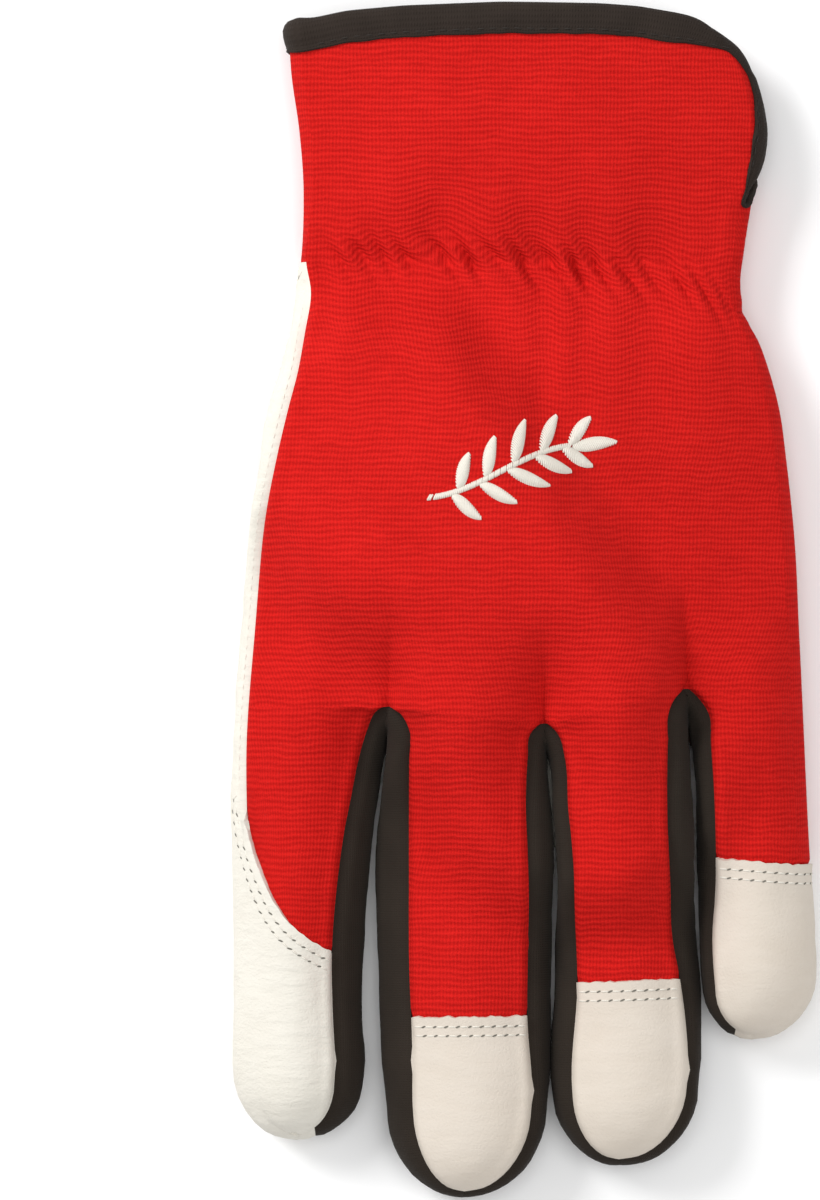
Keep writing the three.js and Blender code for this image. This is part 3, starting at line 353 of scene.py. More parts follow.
def make_finger(i, finger):
    """One finger's grids of points: its back, its right side, its palm and its left side."""
    before = CROTCHES[i - 1] if i else None
    after = CROTCHES[i] if i < 3 else None
    left = edge_lines(finger[1], finger, 1, before)
    right = edge_lines(finger[2], finger, -1, after)
    start_left = [point[0] for point in before] if before else [KNUCKLE_LINE_START] * 3
    start_right = [point[0] for point in after] if after else [KNUCKLE_LINE_END] * 3
    seam_l, side_l, palm_l = (stations(left[k], start_left[k], finger[3]) for k in range(3))
    seam_r, side_r, palm_r = (stations(right[k], start_right[k], finger[4]) for k in range(3))
    share = (np.arange(BACK_COLUMNS + 1) / BACK_COLUMNS)[None, :, None]
    place = mix(seam_l[:, None], seam_r[:, None], share)
    if i == 0:
        fullness = np.concatenate([BASE_SHARES, 1 - TIP_SHARES])[:, None]
        place[..., 1] -= INDEX_BOW * fullness * np.sin(math.pi * share[..., 0] ** BOW_CROWDING)
    closed = tip_fade(place[..., 1] - seam_l[-1][1])
    from_knuckle = (along_at(place[..., 1]) - KNUCKLE_LINE_END) * GLOVE_LENGTH
    crown = mix(finger[5] * HAND_HEIGHT, FINGER_HEIGHT, ease(from_knuckle / KNUCKLE_FADE))
    raised = BACK_DRAPE * drape(place)
    low = mix(FINGERTIP_HEIGHT, SEAM_HEIGHT, closed) * FINGER_HEIGHT + raised
    high = mix(FINGERTIP_HEIGHT * FINGER_HEIGHT, crown, closed) + raised
    back = lifted(place, mix(low, high, 1 - (2 * share[..., 0] - 1) ** 2))
    share = (1 - np.arange(PALM_COLUMNS + 1) / PALM_COLUMNS)[None, :, None]
    place = mix(palm_l[:, None], palm_r[:, None], share)
    palm = lifted(place, palm_height(place, (2 * share[..., 0] - 1) ** FINGER_PALM_FLATNESS))
    return {
        "back": back,
        "right": side_arc(back[:, -1], side_r, palm[:, 0]),
        "palm": palm,
        "left": side_arc(back[:, 0], side_l, palm[:, -1])[:, ::-1],
        "lines": (left, right),
    }


def vent_line(row):
    """Where the vent's edge lies on the side: on the outline, but up near the back's seam at its two ends."""
    at_ends = np.maximum(1 - ease(row / MOUTH_CLIMB_ROWS), ease(2 * row / VENT_ROWS - 1))
    climbed = np.where(row < VENT_ROWS, at_ends, 1 - ease((row - VENT_ROWS) / BELOW_VENT_ROWS))
    return mix(0.5, np.where(row < VENT_ROWS / 2, AT_MOUTH, AT_VENT_END), climbed)


def hand_grids(fingers):
    """The hand's grids run from the cuff's edge to the first row of the fingers."""
    radial, ulnar = fingers[0]["lines"][0], fingers[3]["lines"][1]
    knuckles = np.concatenate([f["back"][0][1 if i else 0:] for i, f in enumerate(fingers)])
    palm_knuckles = np.concatenate([f["palm"][0][::-1][1 if i else 0:] for i, f in enumerate(fingers)])
    spans = enumerate(((VENT_ROWS, 1), (WRIST_ROWS, 1), (PALM_ROWS, KNUCKLE_CROWDING)))
    places = [(span, (step / rows) ** crowding) for span, (rows, crowding) in spans for step in range(rows)]

    def along_line(lines, ends, across):
        levels = [look_up(line, across) for line in lines] + [along_at(ends[:, 1])]
        return np.array([mix(levels[span], levels[span + 1], share) for span, share in places])

    def across_of(row):
        return (row[:, 0] - row[0, 0]) / (row[-1, 0] - row[0, 0])

    def spread(across, along, line):
        x = mix(ends[0][line][:, :1], ends[1][line][:, :1], across[None])
        return np.stack([x, (0.5 - along) * GLOVE_LENGTH], axis=-1)

    across = across_of(knuckles)
    along = along_line((CUFF_EDGE, VENT_LINE, BACK_WRIST), knuckles, across)
    ends = [[line.at(line.length_at(along[:, column])) for line in edge]
            for edge, column in ((radial, 0), (ulnar, -1))]
    place = spread(across, along, 0)
    to_fingers = ease((along - along_at(knuckles[:, 1])[None]) * GLOVE_LENGTH / KNUCKLE_FADE + 1)
    back = lifted(place, mix(hand_height(place, across[None]), knuckles[None, :, 2], to_fingers))
    back = np.concatenate([back, knuckles[None]])
    across = across_of(palm_knuckles)
    place = spread(across, along_line((CUFF_EDGE, VENT_LINE, PALM_WRIST), palm_knuckles, across), 2)
    end_rise = (palm_knuckles[:, 2] - palm_height(palm_knuckles, 0)) / PALM_EDGE_RISE
    open_rise = np.abs(2 * across - 1) ** HAND_PALM_FLATNESS
    row_share = (np.arange(len(places)) / len(places))[:, None]
    palm = lifted(place, palm_height(place, mix(open_rise[None], end_rise[None], row_share)))
    palm = np.concatenate([palm, palm_knuckles[None]])[:, ::-1]
    vent = vent_line(np.arange(len(places)))[:, None, None]
    right = side_arc(back[:-1, -1], ends[1][1], palm[:-1, 0], vent)
    left = side_arc(back[:-1, 0], ends[0][1], palm[:-1, -1])[:, ::-1]
    return {
        "back": back,
        "right": np.concatenate([right, fingers[3]["right"][:1]]),
        "palm": palm,
        "left": np.concatenate([left, fingers[0]["left"][:1]]),
    }


# The skin: grids of points, each with the panel that its faces belong to
STRIPS = ["fourchette_index_middle", "fourchette_middle_ring", "fourchette_ring_little"]
CAPS = ["palm_panel", "middle_tip_cap", "ring_tip_cap", "little_tip_cap"]
WRIST_ROW = VENT_ROWS + WRIST_ROWS
VENT_SLOPE = 0.6
TIP_START = BASE_ROWS + int(0.8 * TIP_ROWS)


def hand_left(row, column):
    if row >= WRIST_ROW:
        return "palm_panel"
    return "palm_cuff" if column < SIDE_COLUMNS / 2 else "back_panel"


def hand_right(row, column):
    if row < VENT_ROWS:
        if column < SIDE_COLUMNS / 2:
            return "back_panel"
        # The palm side rises in steps, under the binding, to meet the back at the vent's end
        edge = SIDE_COLUMNS / 2 + (VENT_ROWS - 1 - row) * VENT_SLOPE
        return "palm_cuff" if column > edge else None
    return "palm_cuff" if row < WRIST_ROW else "back_panel"


def finger_back(i):
    return lambda row, column: CAPS[i] if row >= BASE_ROWS else "back_panel"


def finger_right(i):
    def panel(row, column):
        if i == 3:
            return CAPS[3] if row >= BASE_ROWS else "back_panel"
        return CAPS[0] if i == 0 and row >= TIP_START else STRIPS[i]
    return panel


def finger_left(i):
    def panel(row, column):
        if i == 0:
            return "palm_panel"
        return CAPS[3] if i == 3 and row >= TIP_START else STRIPS[i - 1]
    return panel


def skin_grids():
    fingers = [make_finger(i, finger) for i, finger in enumerate(FINGERS)]
    hand = hand_grids(fingers)
    grids = [
        (hand["back"], "back", lambda row, column: "back_panel"),
        (hand["palm"], "palm", lambda row, column: "palm_cuff" if row < WRIST_ROW else "palm_panel"),
        (hand["left"], "side", hand_left),
        (hand["right"], "side", hand_right),
    ]
    for i, finger in enumerate(fingers):
        grids += [
            (finger["back"], "back", finger_back(i)),
            (finger["palm"], "palm", lambda row, column: "palm_panel"),
            (finger["right"], "side", finger_right(i)),
            (finger["left"], "side", finger_left(i)),
        ]
    return grids


def cloth_places(grid):
    """Millimetres across and along the cloth at each point of a grid, for its ribs."""
    steps = np.linalg.norm(np.diff(grid, axis=1), axis=2)
    across = np.concatenate([np.zeros((len(grid), 1)), np.cumsum(steps, axis=1)], axis=1)
    middle = grid.shape[1] // 2
    across += (grid[:, middle, 0] - across[:, middle])[:, None]
    return np.stack([across, grid[..., 1]], axis=-1)


class Skin:
    """All the grids welded into one surface."""

    def __init__(self, grids):
        points = np.concatenate([grid.reshape(-1, 3) for grid, _, _ in grids])
        keys = np.round(points * 1e3).astype(np.int64)
        _, first, ids = np.unique(keys, axis=0, return_index=True, return_inverse=True)
        ids = ids.reshape(-1)
        self.points = points[first]
        self.faces, self.panels, self.parts, self.cloth, self.rows = [], [], [], [], []
        start = 0
        for grid, part, panel_at in grids:
            rows, columns = grid.shape[:2]
            places = cloth_places(grid)
            table = ids[start:start + rows * columns].reshape(rows, columns)
            start += rows * columns
            for r in range(rows - 1):
                for c in range(columns - 1):
                    panel = panel_at(r, c)
                    if not panel:
                        continue
                    square = ((r, c), (r + 1, c), (r + 1, c + 1), (r, c + 1))
                    corners, at = [], []
                    for corner in square:
                        if table[corner] not in corners:
                            corners.append(int(table[corner]))
                            at.append(places[corner])
                    if len(corners) > 2:
                        self.faces.append(corners)
                        self.panels.append(panel)
                        self.parts.append(part)
                        self.cloth.append(at)
                        self.rows.append(r)
        self.panels = np.array(self.panels)
        self.parts = np.array(self.parts)
        self.rows = np.array(self.rows)
        self.fans = np.array([face + [face[-1]] * (4 - len(face)) for face in self.faces])
        self.find_edges()

    def find_edges(self):
        sides = {}
        for i, face in enumerate(self.faces):
            for a, b in zip(face, face[1:] + face[:1]):
                sides.setdefault((min(a, b), max(a, b)), []).append(i)
        self.seams = [(edge, owners) for edge, owners in sides.items()
                      if len(owners) == 2 and self.panels[owners[0]] != self.panels[owners[1]]]
        self.open = [edge for edge, owners in sides.items() if len(owners) == 1]

    def normals(self, points):
        p = points[self.fans]
        across = np.cross(p[:, 2] - p[:, 0], p[:, 3] - p[:, 1])
        sums = np.zeros_like(points)
        for corner in range(4):
            np.add.at(sums, self.fans[:, corner], across)
        return sums / np.maximum(np.linalg.norm(sums, axis=1), 1e-9)[:, None]

    def push_out(self, push):
        """Moves each point along its normal, but not below the floor."""
        self.points = self.points + self.normals(self.points) * push[:, None]
        self.points[:, 2] = np.maximum(self.points[:, 2], 0)
        self.way_out = self.normals(self.points)


LAPPED = [{"back_panel", cap} for cap in CAPS[1:]] + [{"palm_cuff", "palm_panel"}]


def panels_of(skin, owners):
    return {skin.panels[owner] for owner in owners}


def seams_between(skin, *pair):
    return [edge for edge, owners in skin.seams if panels_of(skin, owners) == set(pair)]


def is_lapped(skin, owners):
    """A leather edge sewn on top of the cloth, and not a seam turned in."""
    pair = panels_of(skin, owners)
    if pair == {"back_panel", "palm_panel"}:
        return all(skin.parts[owner] == "back" for owner in owners)
    return pair in LAPPED


def distance_to(points, edges, reach=12):
    """Each point's distance to a line of edges, up to a reach."""
    if not edges:
        return np.full(len(points), float(reach))
    tree = KDTree(3 * len(edges))
    for i, (a, b) in enumerate(edges):
        for j, share in enumerate((0, 1 / 3, 2 / 3)):
            tree.insert(mix(points[a], points[b], share), 3 * i + j)
    tree.balance()
    return np.array([min(reach, tree.find(point)[2]) for point in points])


def noise_at(points, size, seed=0.0, stretch=(1, 1, 1)):
    """Smooth noise from -1 to 1, with features about size millimetres across."""
    scaled = points / (size * np.array(stretch)) + seed
    return np.array([noise.noise(Vector(place)) for place in scaled])


# Gathers: small slanted creases in a row, with the cloth swollen between them and broad folds beyond
PUCKER_PITCH = 5.6
PUCKER_LEAN = 0.8
CREASE_DEPTH, CREASE_WIDTH, CREASE_REACH = 1.25, 0.75, 2.4
SWELL_DEPTH, SWELL_REACH = 0.75, 5
DRAWN_DEPTH, DRAWN_REACH = 0.9, 8
FOLD_DEPTH, FOLD_BEND = 0.8, 1.6
FOLD_PITCH, FINE_FOLD_PITCH = 31, 17
FOLD_REACH, FOLD_REACH_UP = 24, 15
WRIST_WIDTH, WRIST_START = 0.73 * GLOVE_WIDTH, 0.49


def bell(distance, reach):
    return np.exp(-((distance / reach) ** 2))


def gathers(points):
    """Creases and folds that the wrist elastic draws into the cloth, and how its ribs bend with them."""
    x, y = points[:, 0], points[:, 1]
    across = np.clip(x / WRIST_WIDTH + WRIST_START, 0, 1)
    line = np.stack([x, x * 0, x * 0], axis=1)
    below = (along_at(y) - look_up(BACK_WRIST, across)) * GLOVE_LENGTH - 1.6 * noise_at(line, 7, 21.0)
    turns = (x - PUCKER_LEAN * below) / PUCKER_PITCH + 0.45 * noise_at(line, 17, 3.0)
    strength = np.clip(0.8 + 0.7 * noise_at(line, 8, 9.0), 0.4, 1.15)
    from_crease = np.abs((turns + 0.5) % 1 - 0.5) * PUCKER_PITCH
    crease = -CREASE_DEPTH * strength * bell(from_crease, CREASE_WIDTH) * bell(below, CREASE_REACH)
    swell = SWELL_DEPTH * strength * np.cos(2 * math.pi * (turns - 0.42)) * bell(below, SWELL_REACH)
    drift = noise_at(np.stack([x, y * 0.3, x * 0], axis=1), 30, 5.0)
    fold = np.sin(2 * math.pi * (x / FOLD_PITCH + 1.2 * drift))
    fold += 0.7 * np.sin(2 * math.pi * (x / FINE_FOLD_PITCH - 1.1 * drift))
    fold *= np.exp(-(np.where(below > 0, below / FOLD_REACH, -below / FOLD_REACH_UP) ** 1.4))
    drawn = -DRAWN_DEPTH * bell(below, DRAWN_REACH)
    edge = np.sin(across * math.pi).clip(0, 1) ** 0.4
    bent = FOLD_BEND * fold + 1.1 * swell + 0.5 * crease
    return (crease + swell + FOLD_DEPTH * fold + drawn) * edge, bent * edge


# Seams: how deep and wide a turned-in seam lies, and the low roll of cloth or leather beside it
SEAM_DEPTH, SEAM_WIDTH = 0.75, 0.85
ROLL_HEIGHT, ROLL_FROM_SEAM, ROLL_WIDTH = 0.3, 2.2, 1.2
# Where the leather's side strip starts at the wrist
STRIP_START = (0.219, -0.376)
# The two rows of stitches from a lapped edge, and how deep they draw the leather in
STITCH_ROWS = (2.0, 3.9)
STITCH_DEPTH, STITCH_WIDTH = 0.16, 0.45


def leather_waves(points, coarse, fine, seed=0, coarse_way=(1, 1, 1), fine_way=(1, 1, 1)):
    """The leather's creases, coarse and fine ones, each with its height and the way it is stretched."""
    waves = coarse * noise_at(points, 9, 7.0 + seed, coarse_way)
    return waves + fine * noise_at(points, 3.5, 4.0 + seed, fine_way)


def flatter(distance, least, start, reach):
    """How deep seams lie at a distance from where they lie flatter."""
    return mix(least, 1, ease((distance - start) / reach))


def shape_skin(skin):
    """Adds to the skin what sewing and wear do to it: gathers, turned-in seams, creases and folds."""
    points = skin.points
    cloth = np.zeros(len(points))
    red = np.isin(skin.panels, ("back_panel", "palm_cuff"))
    for corner in range(4):
        np.maximum.at(cloth, skin.fans[red][:, corner], 1.0)
    pull, bent = gathers(points)
    on_back = ease((skin.normals(points)[:, 2] + 0.1) / 0.5)
    skin.bent = bent * on_back
    sewn = [edge for edge, owners in skin.seams if not is_lapped(skin, owners)]
    lapped = [edge for edge, owners in skin.seams if is_lapped(skin, owners)]
    skin.to_sewn = distance_to(points, sewn)
    skin.to_lap = distance_to(points, lapped)
    free = ease(skin.to_sewn / 3)
    push = pull * cloth * on_back * np.maximum(free, 0.35)
    push += cloth * free * 0.35 * noise_at(points, 24, 1.0, (0.7, 1.5, 1))
    push += (1 - cloth) * free * leather_waves(points, 0.28, 0.14, 0, (1.6, 0.8, 1), (1.5, 0.7, 1))
    # Seams lie flatter near the fingertips, between two pieces of cloth and at the strip's start
    tips = np.array([plan(*finger[7]) for finger in FINGERS])
    to_tip = np.linalg.norm(points[:, None, :2] - tips[None], axis=2).min(axis=1)
    to_cloth_seam = distance_to(points, seams_between(skin, "palm_cuff", "back_panel"))
    to_strip = np.linalg.norm(points[:, :2] - plan(*STRIP_START), axis=1)
    depth = flatter(to_tip, 0.15, 0, 16) * flatter(to_cloth_seam, 0.35, 1, 4) * flatter(to_strip, 0.1, 3, 12)
    push -= SEAM_DEPTH * depth * bell(skin.to_sewn, SEAM_WIDTH)
    push += ROLL_HEIGHT * depth * bell(skin.to_sewn - ROLL_FROM_SEAM, ROLL_WIDTH)
    for row in STITCH_ROWS:
        push -= (1 - cloth) * free * STITCH_DEPTH * bell(skin.to_lap - row, STITCH_WIDTH)
    skin.push_out(push)


# Objects
def link(name, data):
    made = bpy.data.objects.new(name, data)
    bpy.context.scene.collection.objects.link(made)
    return made


def new_object(name, vertices, faces):
    """A mesh object at the origin, from points in millimetres on the hand."""
    mesh = bpy.data.meshes.new(name)
    places = (np.asarray(vertices) + ROW_SHIFT) * MM
    places[:, 2] = np.maximum(places[:, 2], 0)
    mesh.from_pydata(places.tolist(), [], faces)
    mesh.update()
    return link(name, mesh)


def select_only(obj):
    bpy.ops.object.select_all(action="DESELECT")
    obj.select_set(True)
    bpy.context.view_layer.objects.active = obj


def smooth(obj, angle=50):
    select_only(obj)
    bpy.ops.object.shade_smooth_by_angle(angle=math.radians(angle))


def face_outwards(obj):
    bm = bmesh.new()
    bm.from_mesh(obj.data)
    bmesh.ops.recalc_face_normals(bm, faces=bm.faces[:])
    bm.to_mesh(obj.data)
    bm.free()


def closed_object(name, vertices, faces, angle=80, cloth=None):
    """An object from a closed mesh, with its cloth map and with its faces turned outwards."""
    obj = new_object(name, vertices, faces)
    if cloth is not None:
        add_cloth_map(obj, cloth)
    face_outwards(obj)
    smooth(obj, angle)
    return obj


def add_cloth_map(obj, places):
    """Millimetres across and along the cloth for each corner of each face, which its pattern follows."""
    layer = obj.data.uv_layers.new(name="cloth_mm")
    layer.data.foreach_set("uv", np.asarray(places, dtype=float).ravel())


def thicken(obj, wall):
    """Gives a single skin its wall, inwards, so that its outside stays where it is."""
    select_only(obj)
    solid = obj.modifiers.new("wall", "SOLIDIFY")
    solid.thickness = wall * MM
    solid.offset = -1
    bpy.ops.object.modifier_apply(modifier=solid.name)
    for vertex in obj.data.vertices:
        vertex.co.z = max(vertex.co.z, 0)


def panel_object(skin, name, wall, shift, chosen=None):
    """A panel cut from the skin, moved off it by a shift at each point, with its wall and cloth map."""
    picked = np.flatnonzero(skin.panels == name) if chosen is None else chosen
    used = np.unique(skin.fans[picked])
    new_ids = {int(old): new for new, old in enumerate(used)}
    vertices = skin.points[used] + skin.way_out[used] * shift[used][:, None]
    faces = [[new_ids[corner] for corner in skin.faces[i]] for i in picked]
    obj = new_object(f"{name}_worn", vertices, faces)
    cloth = np.array([at for i in picked for at in skin.cloth[i]], dtype=float)
    cloth[:, 1] += skin.bent[[corner for i in picked for corner in skin.faces[i]]]
    add_cloth_map(obj, cloth)
    thicken(obj, wall)
    smooth(obj)
    return obj


# Panels
LAP_RISE, LAP_FADE = 0.5, 3.5
TUCK_ROWS = 4
TUCK_DEPTH = 0.7
CLOTH_UNDER_LAP = 0.6
RAGGED_DEPTH, RAGGED_SIZE = 0.4, 1.4


def leather_rise(skin):
    """Leather stands proud of the cloth along the edge that laps over it."""
    return LAP_RISE * np.exp(-skin.to_lap / LAP_FADE) * ease(skin.to_sewn / 1.5)


def tucked_faces(skin, part, start, neighbours):
    """The rows just past a lapped edge, which the cloth runs on under the leather."""
    rows = (skin.rows >= start) & (skin.rows < start + TUCK_ROWS) & (skin.parts == part)
    return np.flatnonzero(rows & np.isin(skin.panels, neighbours))


def cloth_panel(skin, name, tucked):
    own = np.flatnonzero(skin.panels == name)
    shift = -CLOTH_UNDER_LAP * (1 - ease(skin.to_lap / 1.2))
    beyond = np.setdiff1d(np.unique(skin.fans[tucked]), np.unique(skin.fans[own]))
    shift[beyond] = -TUCK_DEPTH
    return panel_object(skin, name, CLOTH_WALL, shift, np.concatenate([own, tucked]))


def ragged(skin, name):
    """Moves the leather's lapped edge in and out a little, as scissors leave it."""
    edges = {corner for edge, owners in skin.seams if is_lapped(skin, owners) for corner in edge}
    own = skin.fans[skin.panels == name]
    centres = skin.points[own].mean(axis=1)
    moved = skin.points.copy()
    for face, centre in zip(own, centres):
        for corner in set(face) & edges:
            outward = skin.points[corner] - centre
            step = noise.noise(Vector(skin.points[corner] / RAGGED_SIZE)) * RAGGED_DEPTH
            moved[corner] = skin.points[corner] + outward / np.linalg.norm(outward) * step
    return moved


def hole_place(points):
    """How far out points lie from the thumb hole's centre, where 1 is on its edge."""
    place = 2 * (points[..., :2] - HOLE_CENTRE)
    return np.hypot(place @ THUMB_WAY / THUMB_HOLE_LENGTH, place @ THUMB_ACROSS / THUMB_WIDTH)


def leather_panel(skin, name):
    kept = skin.points
    skin.points = ragged(skin, name)
    chosen = np.flatnonzero(skin.panels == name)
    if name == "palm_panel":
        reach = hole_place(skin.points[skin.fans[chosen]].mean(axis=1))
        chosen = chosen[(reach > 1) | (skin.parts[chosen] != "palm")]
        inside = (hole_place(skin.points) < 1) & (skin.way_out[:, 2] < -0.5)
        out = 1 / np.maximum(hole_place(skin.points[inside]), 0.2)
        skin.points[inside, :2] = HOLE_CENTRE + (skin.points[inside, :2] - HOLE_CENTRE) * out[:, None]
    obj = panel_object(skin, name, LEATHER_WALL, leather_rise(skin), chosen)
    skin.points = kept
    return obj


# The thumb: the share of its bend in which its top comes down, how its rows crowd at the tip, how far the
# tip's top droops and its floor lifts, and half its cloth's width as a share of the way round it
THUMB_DROP = 0.3
THUMB_CROWDING = 1.3
TIP_DROOP = 0.35
TIP_LIFT = 0.1
THUMB_CLOTH_HALF = 0.1875
THUMB_SEAM_DEPTH = 0.55


def thumb_grid():
    """Rings that leave the palm's hole, bend under it and lie flat on the floor to the thumb's tip."""
    near = HOLE_CENTRE + THUMB_WAY * (THUMB_HOLE_LENGTH / 2 - SEAM_GAP)
    top = PALM_LIFT + DRAPE_HEIGHT + LEATHER_WALL
    reach = np.linalg.norm(THUMB_END - near)
    angles = np.arange(THUMB_COLUMNS + 1) * 2 * math.pi / THUMB_COLUMNS
    sines = np.sin(angles)
    sines[[0, -1]] = 0
    rings = []
    for row in range(THUMB_BEND_ROWS + THUMB_ROWS + 1):
        bend = min(1, row / THUMB_BEND_ROWS)
        onward = max(0, row - THUMB_BEND_ROWS) / THUMB_ROWS
        start = THUMB_HOLE_LENGTH / 6 * ease((bend - THUMB_DROP) / (1 - THUMB_DROP))
        run = mix(start, reach, 1 - (1 - onward) ** THUMB_CROWDING)
        closed = math.sqrt(1 - (1 - min(1, (reach - run) / THUMB_TIP_ROUND)) ** 2)
        sunk = (1 - closed) * THUMB_HEIGHT
        high = mix(top, THUMB_HEIGHT, min(1, bend / THUMB_DROP)) - sunk * TIP_DROOP
        back = (THUMB_HOLE_LENGTH - 2 * SEAM_GAP) * math.cos(bend * math.pi / 2)
        down = (THUMB_HEIGHT * math.sin(bend * math.pi / 2) if row < THUMB_BEND_ROWS else high) * (bend > 0)
        square = mix(1, THUMB_SQUARENESS, bend)
        depth = (1 - np.sign(np.cos(angles)) * np.abs(np.cos(angles)) ** square) / 2
        aside = np.sign(sines) * np.abs(sines) ** square * (THUMB_WIDTH / 2 - SEAM_GAP) * closed
        floor = 0 if row < THUMB_BEND_ROWS else sunk * TIP_LIFT
        place = near + THUMB_WAY * (run - depth * back)[:, None] + THUMB_ACROSS * aside[:, None]
        rings.append(lifted(place, np.maximum(floor, high - depth * down)))
    return np.array(rings)


def pointed(rings):
    """Slides the thumb's rings so that its cloth ends in a point on one of them, and says on which."""
    middle = THUMB_COLUMNS // 2
    to_tip = np.linalg.norm(THUMB_END - rings[:, middle, :2], axis=1)
    end = int(np.argmax(to_tip < THUMB_LEATHER_END + THUMB_POINT))
    row = np.arange(len(rings))
    before = (row - THUMB_BEND_ROWS) / (end - THUMB_BEND_ROWS)
    after = (row[-1] - row) / (row[-1] - end)
    aside = np.abs(np.arange(THUMB_COLUMNS + 1) - middle) / THUMB_COLUMNS
    slide = THUMB_POINT * ease(np.minimum(before, after))
    slide = slide[:, None] * np.clip(1 - aside / THUMB_CLOTH_HALF, 0, 1)
    rings[..., :2] += slide[..., None] * THUMB_WAY
    return end


def thumb_skin():
    rings = thumb_grid()
    end = pointed(rings)

    def panel_at(row, column):
        aside = abs(column + 0.5 - THUMB_COLUMNS / 2) / THUMB_COLUMNS
        cloth = aside < THUMB_CLOTH_HALF and THUMB_BEND_ROWS / 5 <= row < end
        return "thumb_back" if cloth else "thumb_leather"

    skin = Skin([(rings, "thumb", panel_at)])
    skin.to_sewn = distance_to(skin.points, [edge for edge, owners in skin.seams])
    skin.bent = np.zeros(len(skin.points))
    push = ease(skin.to_sewn / 3) * leather_waves(skin.points, 0.22, 0.1, 10)
    skin.push_out(push - THUMB_SEAM_DEPTH * bell(skin.to_sewn, SEAM_WIDTH))
    return skin


def surface_tree(skin, chosen=None):
    faces = skin.faces if chosen is None else [skin.faces[i] for i in chosen]
    return BVHTree.FromPolygons([tuple(p) for p in skin.points], faces)


# A patch's frayed edge, and its distance from the palm
FRAY = 0.12
PATCH_GAP = 0.09


def patch_grid(outline, centre, tree, out, rings=26, spokes=144):
    """Rings of points that fill an outline under the palm, from its middle, each a little off the palm."""
    corners = [plan(*row) for row in outline]
    line = PlanLine([*corners, corners[0]], 10)
    edge = line.at(np.arange(spokes) / spokes * line.length)
    grid = np.zeros((rings + 1, spokes, 3))
    for r in range(rings + 1):
        for s in range(spokes):
            place = mix(centre, edge[s], r / rings)
            fray = FRAY * noise.noise(Vector((*place, 0))) if r == rings else 0
            place = place + unit(edge[s] - centre) * fray
            hit = tree.ray_cast(Vector((*place, -5)), Vector((0, 0, 1)))[0]
            height = hit.z if hit else float(palm_height(place, 0.5))
            grid[r, s] = (*place, max(0, height - out))
    return grid


def patch_object(name, outline, centre, tree):
    """A patch: its underside, with the same shape a wall's height above it and a rim between them."""
    grid = patch_grid(outline, plan(*centre), tree, PATCH_GAP + PATCH_WALL)
    rings, spokes = grid.shape[:2]
    under = np.concatenate([grid[0, :1], grid[1:].reshape(-1, 3)])
    count = len(under)

    def at(r, s, layer=0):
        return 1 + (r - 1) * spokes + s % spokes + layer * count

    faces = []
    for s in range(spokes):
        faces += [(0, at(1, s), at(1, s + 1)), (count, at(1, s + 1, 1), at(1, s, 1))]
        for r in range(1, rings - 1):
            faces.append((at(r, s), at(r + 1, s), at(r + 1, s + 1), at(r, s + 1)))
            faces.append((at(r, s, 1), at(r, s + 1, 1), at(r + 1, s + 1, 1), at(r + 1, s, 1)))
        last = rings - 1
        faces.append((at(last, s), at(last, s, 1), at(last, s + 1, 1), at(last, s + 1)))
    layers = np.concatenate([under, under + [0, 0, PATCH_WALL]])
    return closed_object(f"{name}_worn", layers, faces, 50), grid


# Edges and threads
def open_loop(skin):
    """The cuff's open edge, all round its mouth and its vent, as points in order."""
    following = {}
    for a, b in skin.open:
        following.setdefault(a, []).append(b)
        following.setdefault(b, []).append(a)
    start = next(iter(following))
    loop, last = [start], None
    while True:
        ahead = [point for point in following[loop[-1]] if point != last]
        last = loop[-1]
        if ahead[0] == start or len(loop) > len(following):
            return loop
        loop.append(ahead[0])


def even(points, step):
    """Points round a closed line at an even step."""
    line = np.vstack([points, points[:1]])
    lengths = lengths_along(line)
    count = int(round(lengths[-1] / step))
    wanted = np.linspace(0, lengths[-1], count + 1)[:count]
    return np.stack([np.interp(wanted, lengths, line[:, k]) for k in range(3)], axis=-1)


def settle(points, passes):
    """A closed line, smoothed."""
    for _ in range(passes):
        points = 0.5 * points + 0.25 * (np.roll(points, 1, axis=0) + np.roll(points, -1, axis=0))
    return points


# The binding's cross-section: millimetres in from the cuff's edge, and out from the cloth
BINDING_PROFILE = [
    (5.4, 0.05), (5.5, 0.45), (5.2, 0.75), (4.6, 0.6), (3.6, 0.95), (2.2, 1.2), (0.8, 1.25), (-0.3, 1.05),
    (-0.95, 0.45), (-1.2, -0.4), (-1.0, -1.3), (-0.4, -2.0), (0.8, -2.3), (2.4, -2.2), (4.4, -1.9),
    (5.2, -1.95), (5.4, -1.3), (0.4, -1.25), (-0.2, -0.5), (0.4, 0.05),
]
# The binding's width down the vent, as a share of its profile: along, share
VENT_TAPER = [
    (0.012, 1), (0.03, 0.66), (0.045, 0.45), (0.058, 0.35), (0.075, 0.75), (0.095, 1.2), (0.125, 1.1),
    (0.142, 0.6), (0.156, 0.15),
]
BINDING_STEP, BINDING_STEP_ROUND = 0.8, 0.7
BINDING_STITCH_IN, BINDING_STITCH_OUT = 4.4, 0.72
NARROWEST_STITCHED = 0.5
MOUTH_CORNER = plan(0.03, 0.342)
# The thick end of the binding's tape at the mouth, on the index finger's side
KNOB, KNOB_REACH, KNOB_SWELL = np.array([-46.5, 119.5, 12.0]), 2.6, 0.55


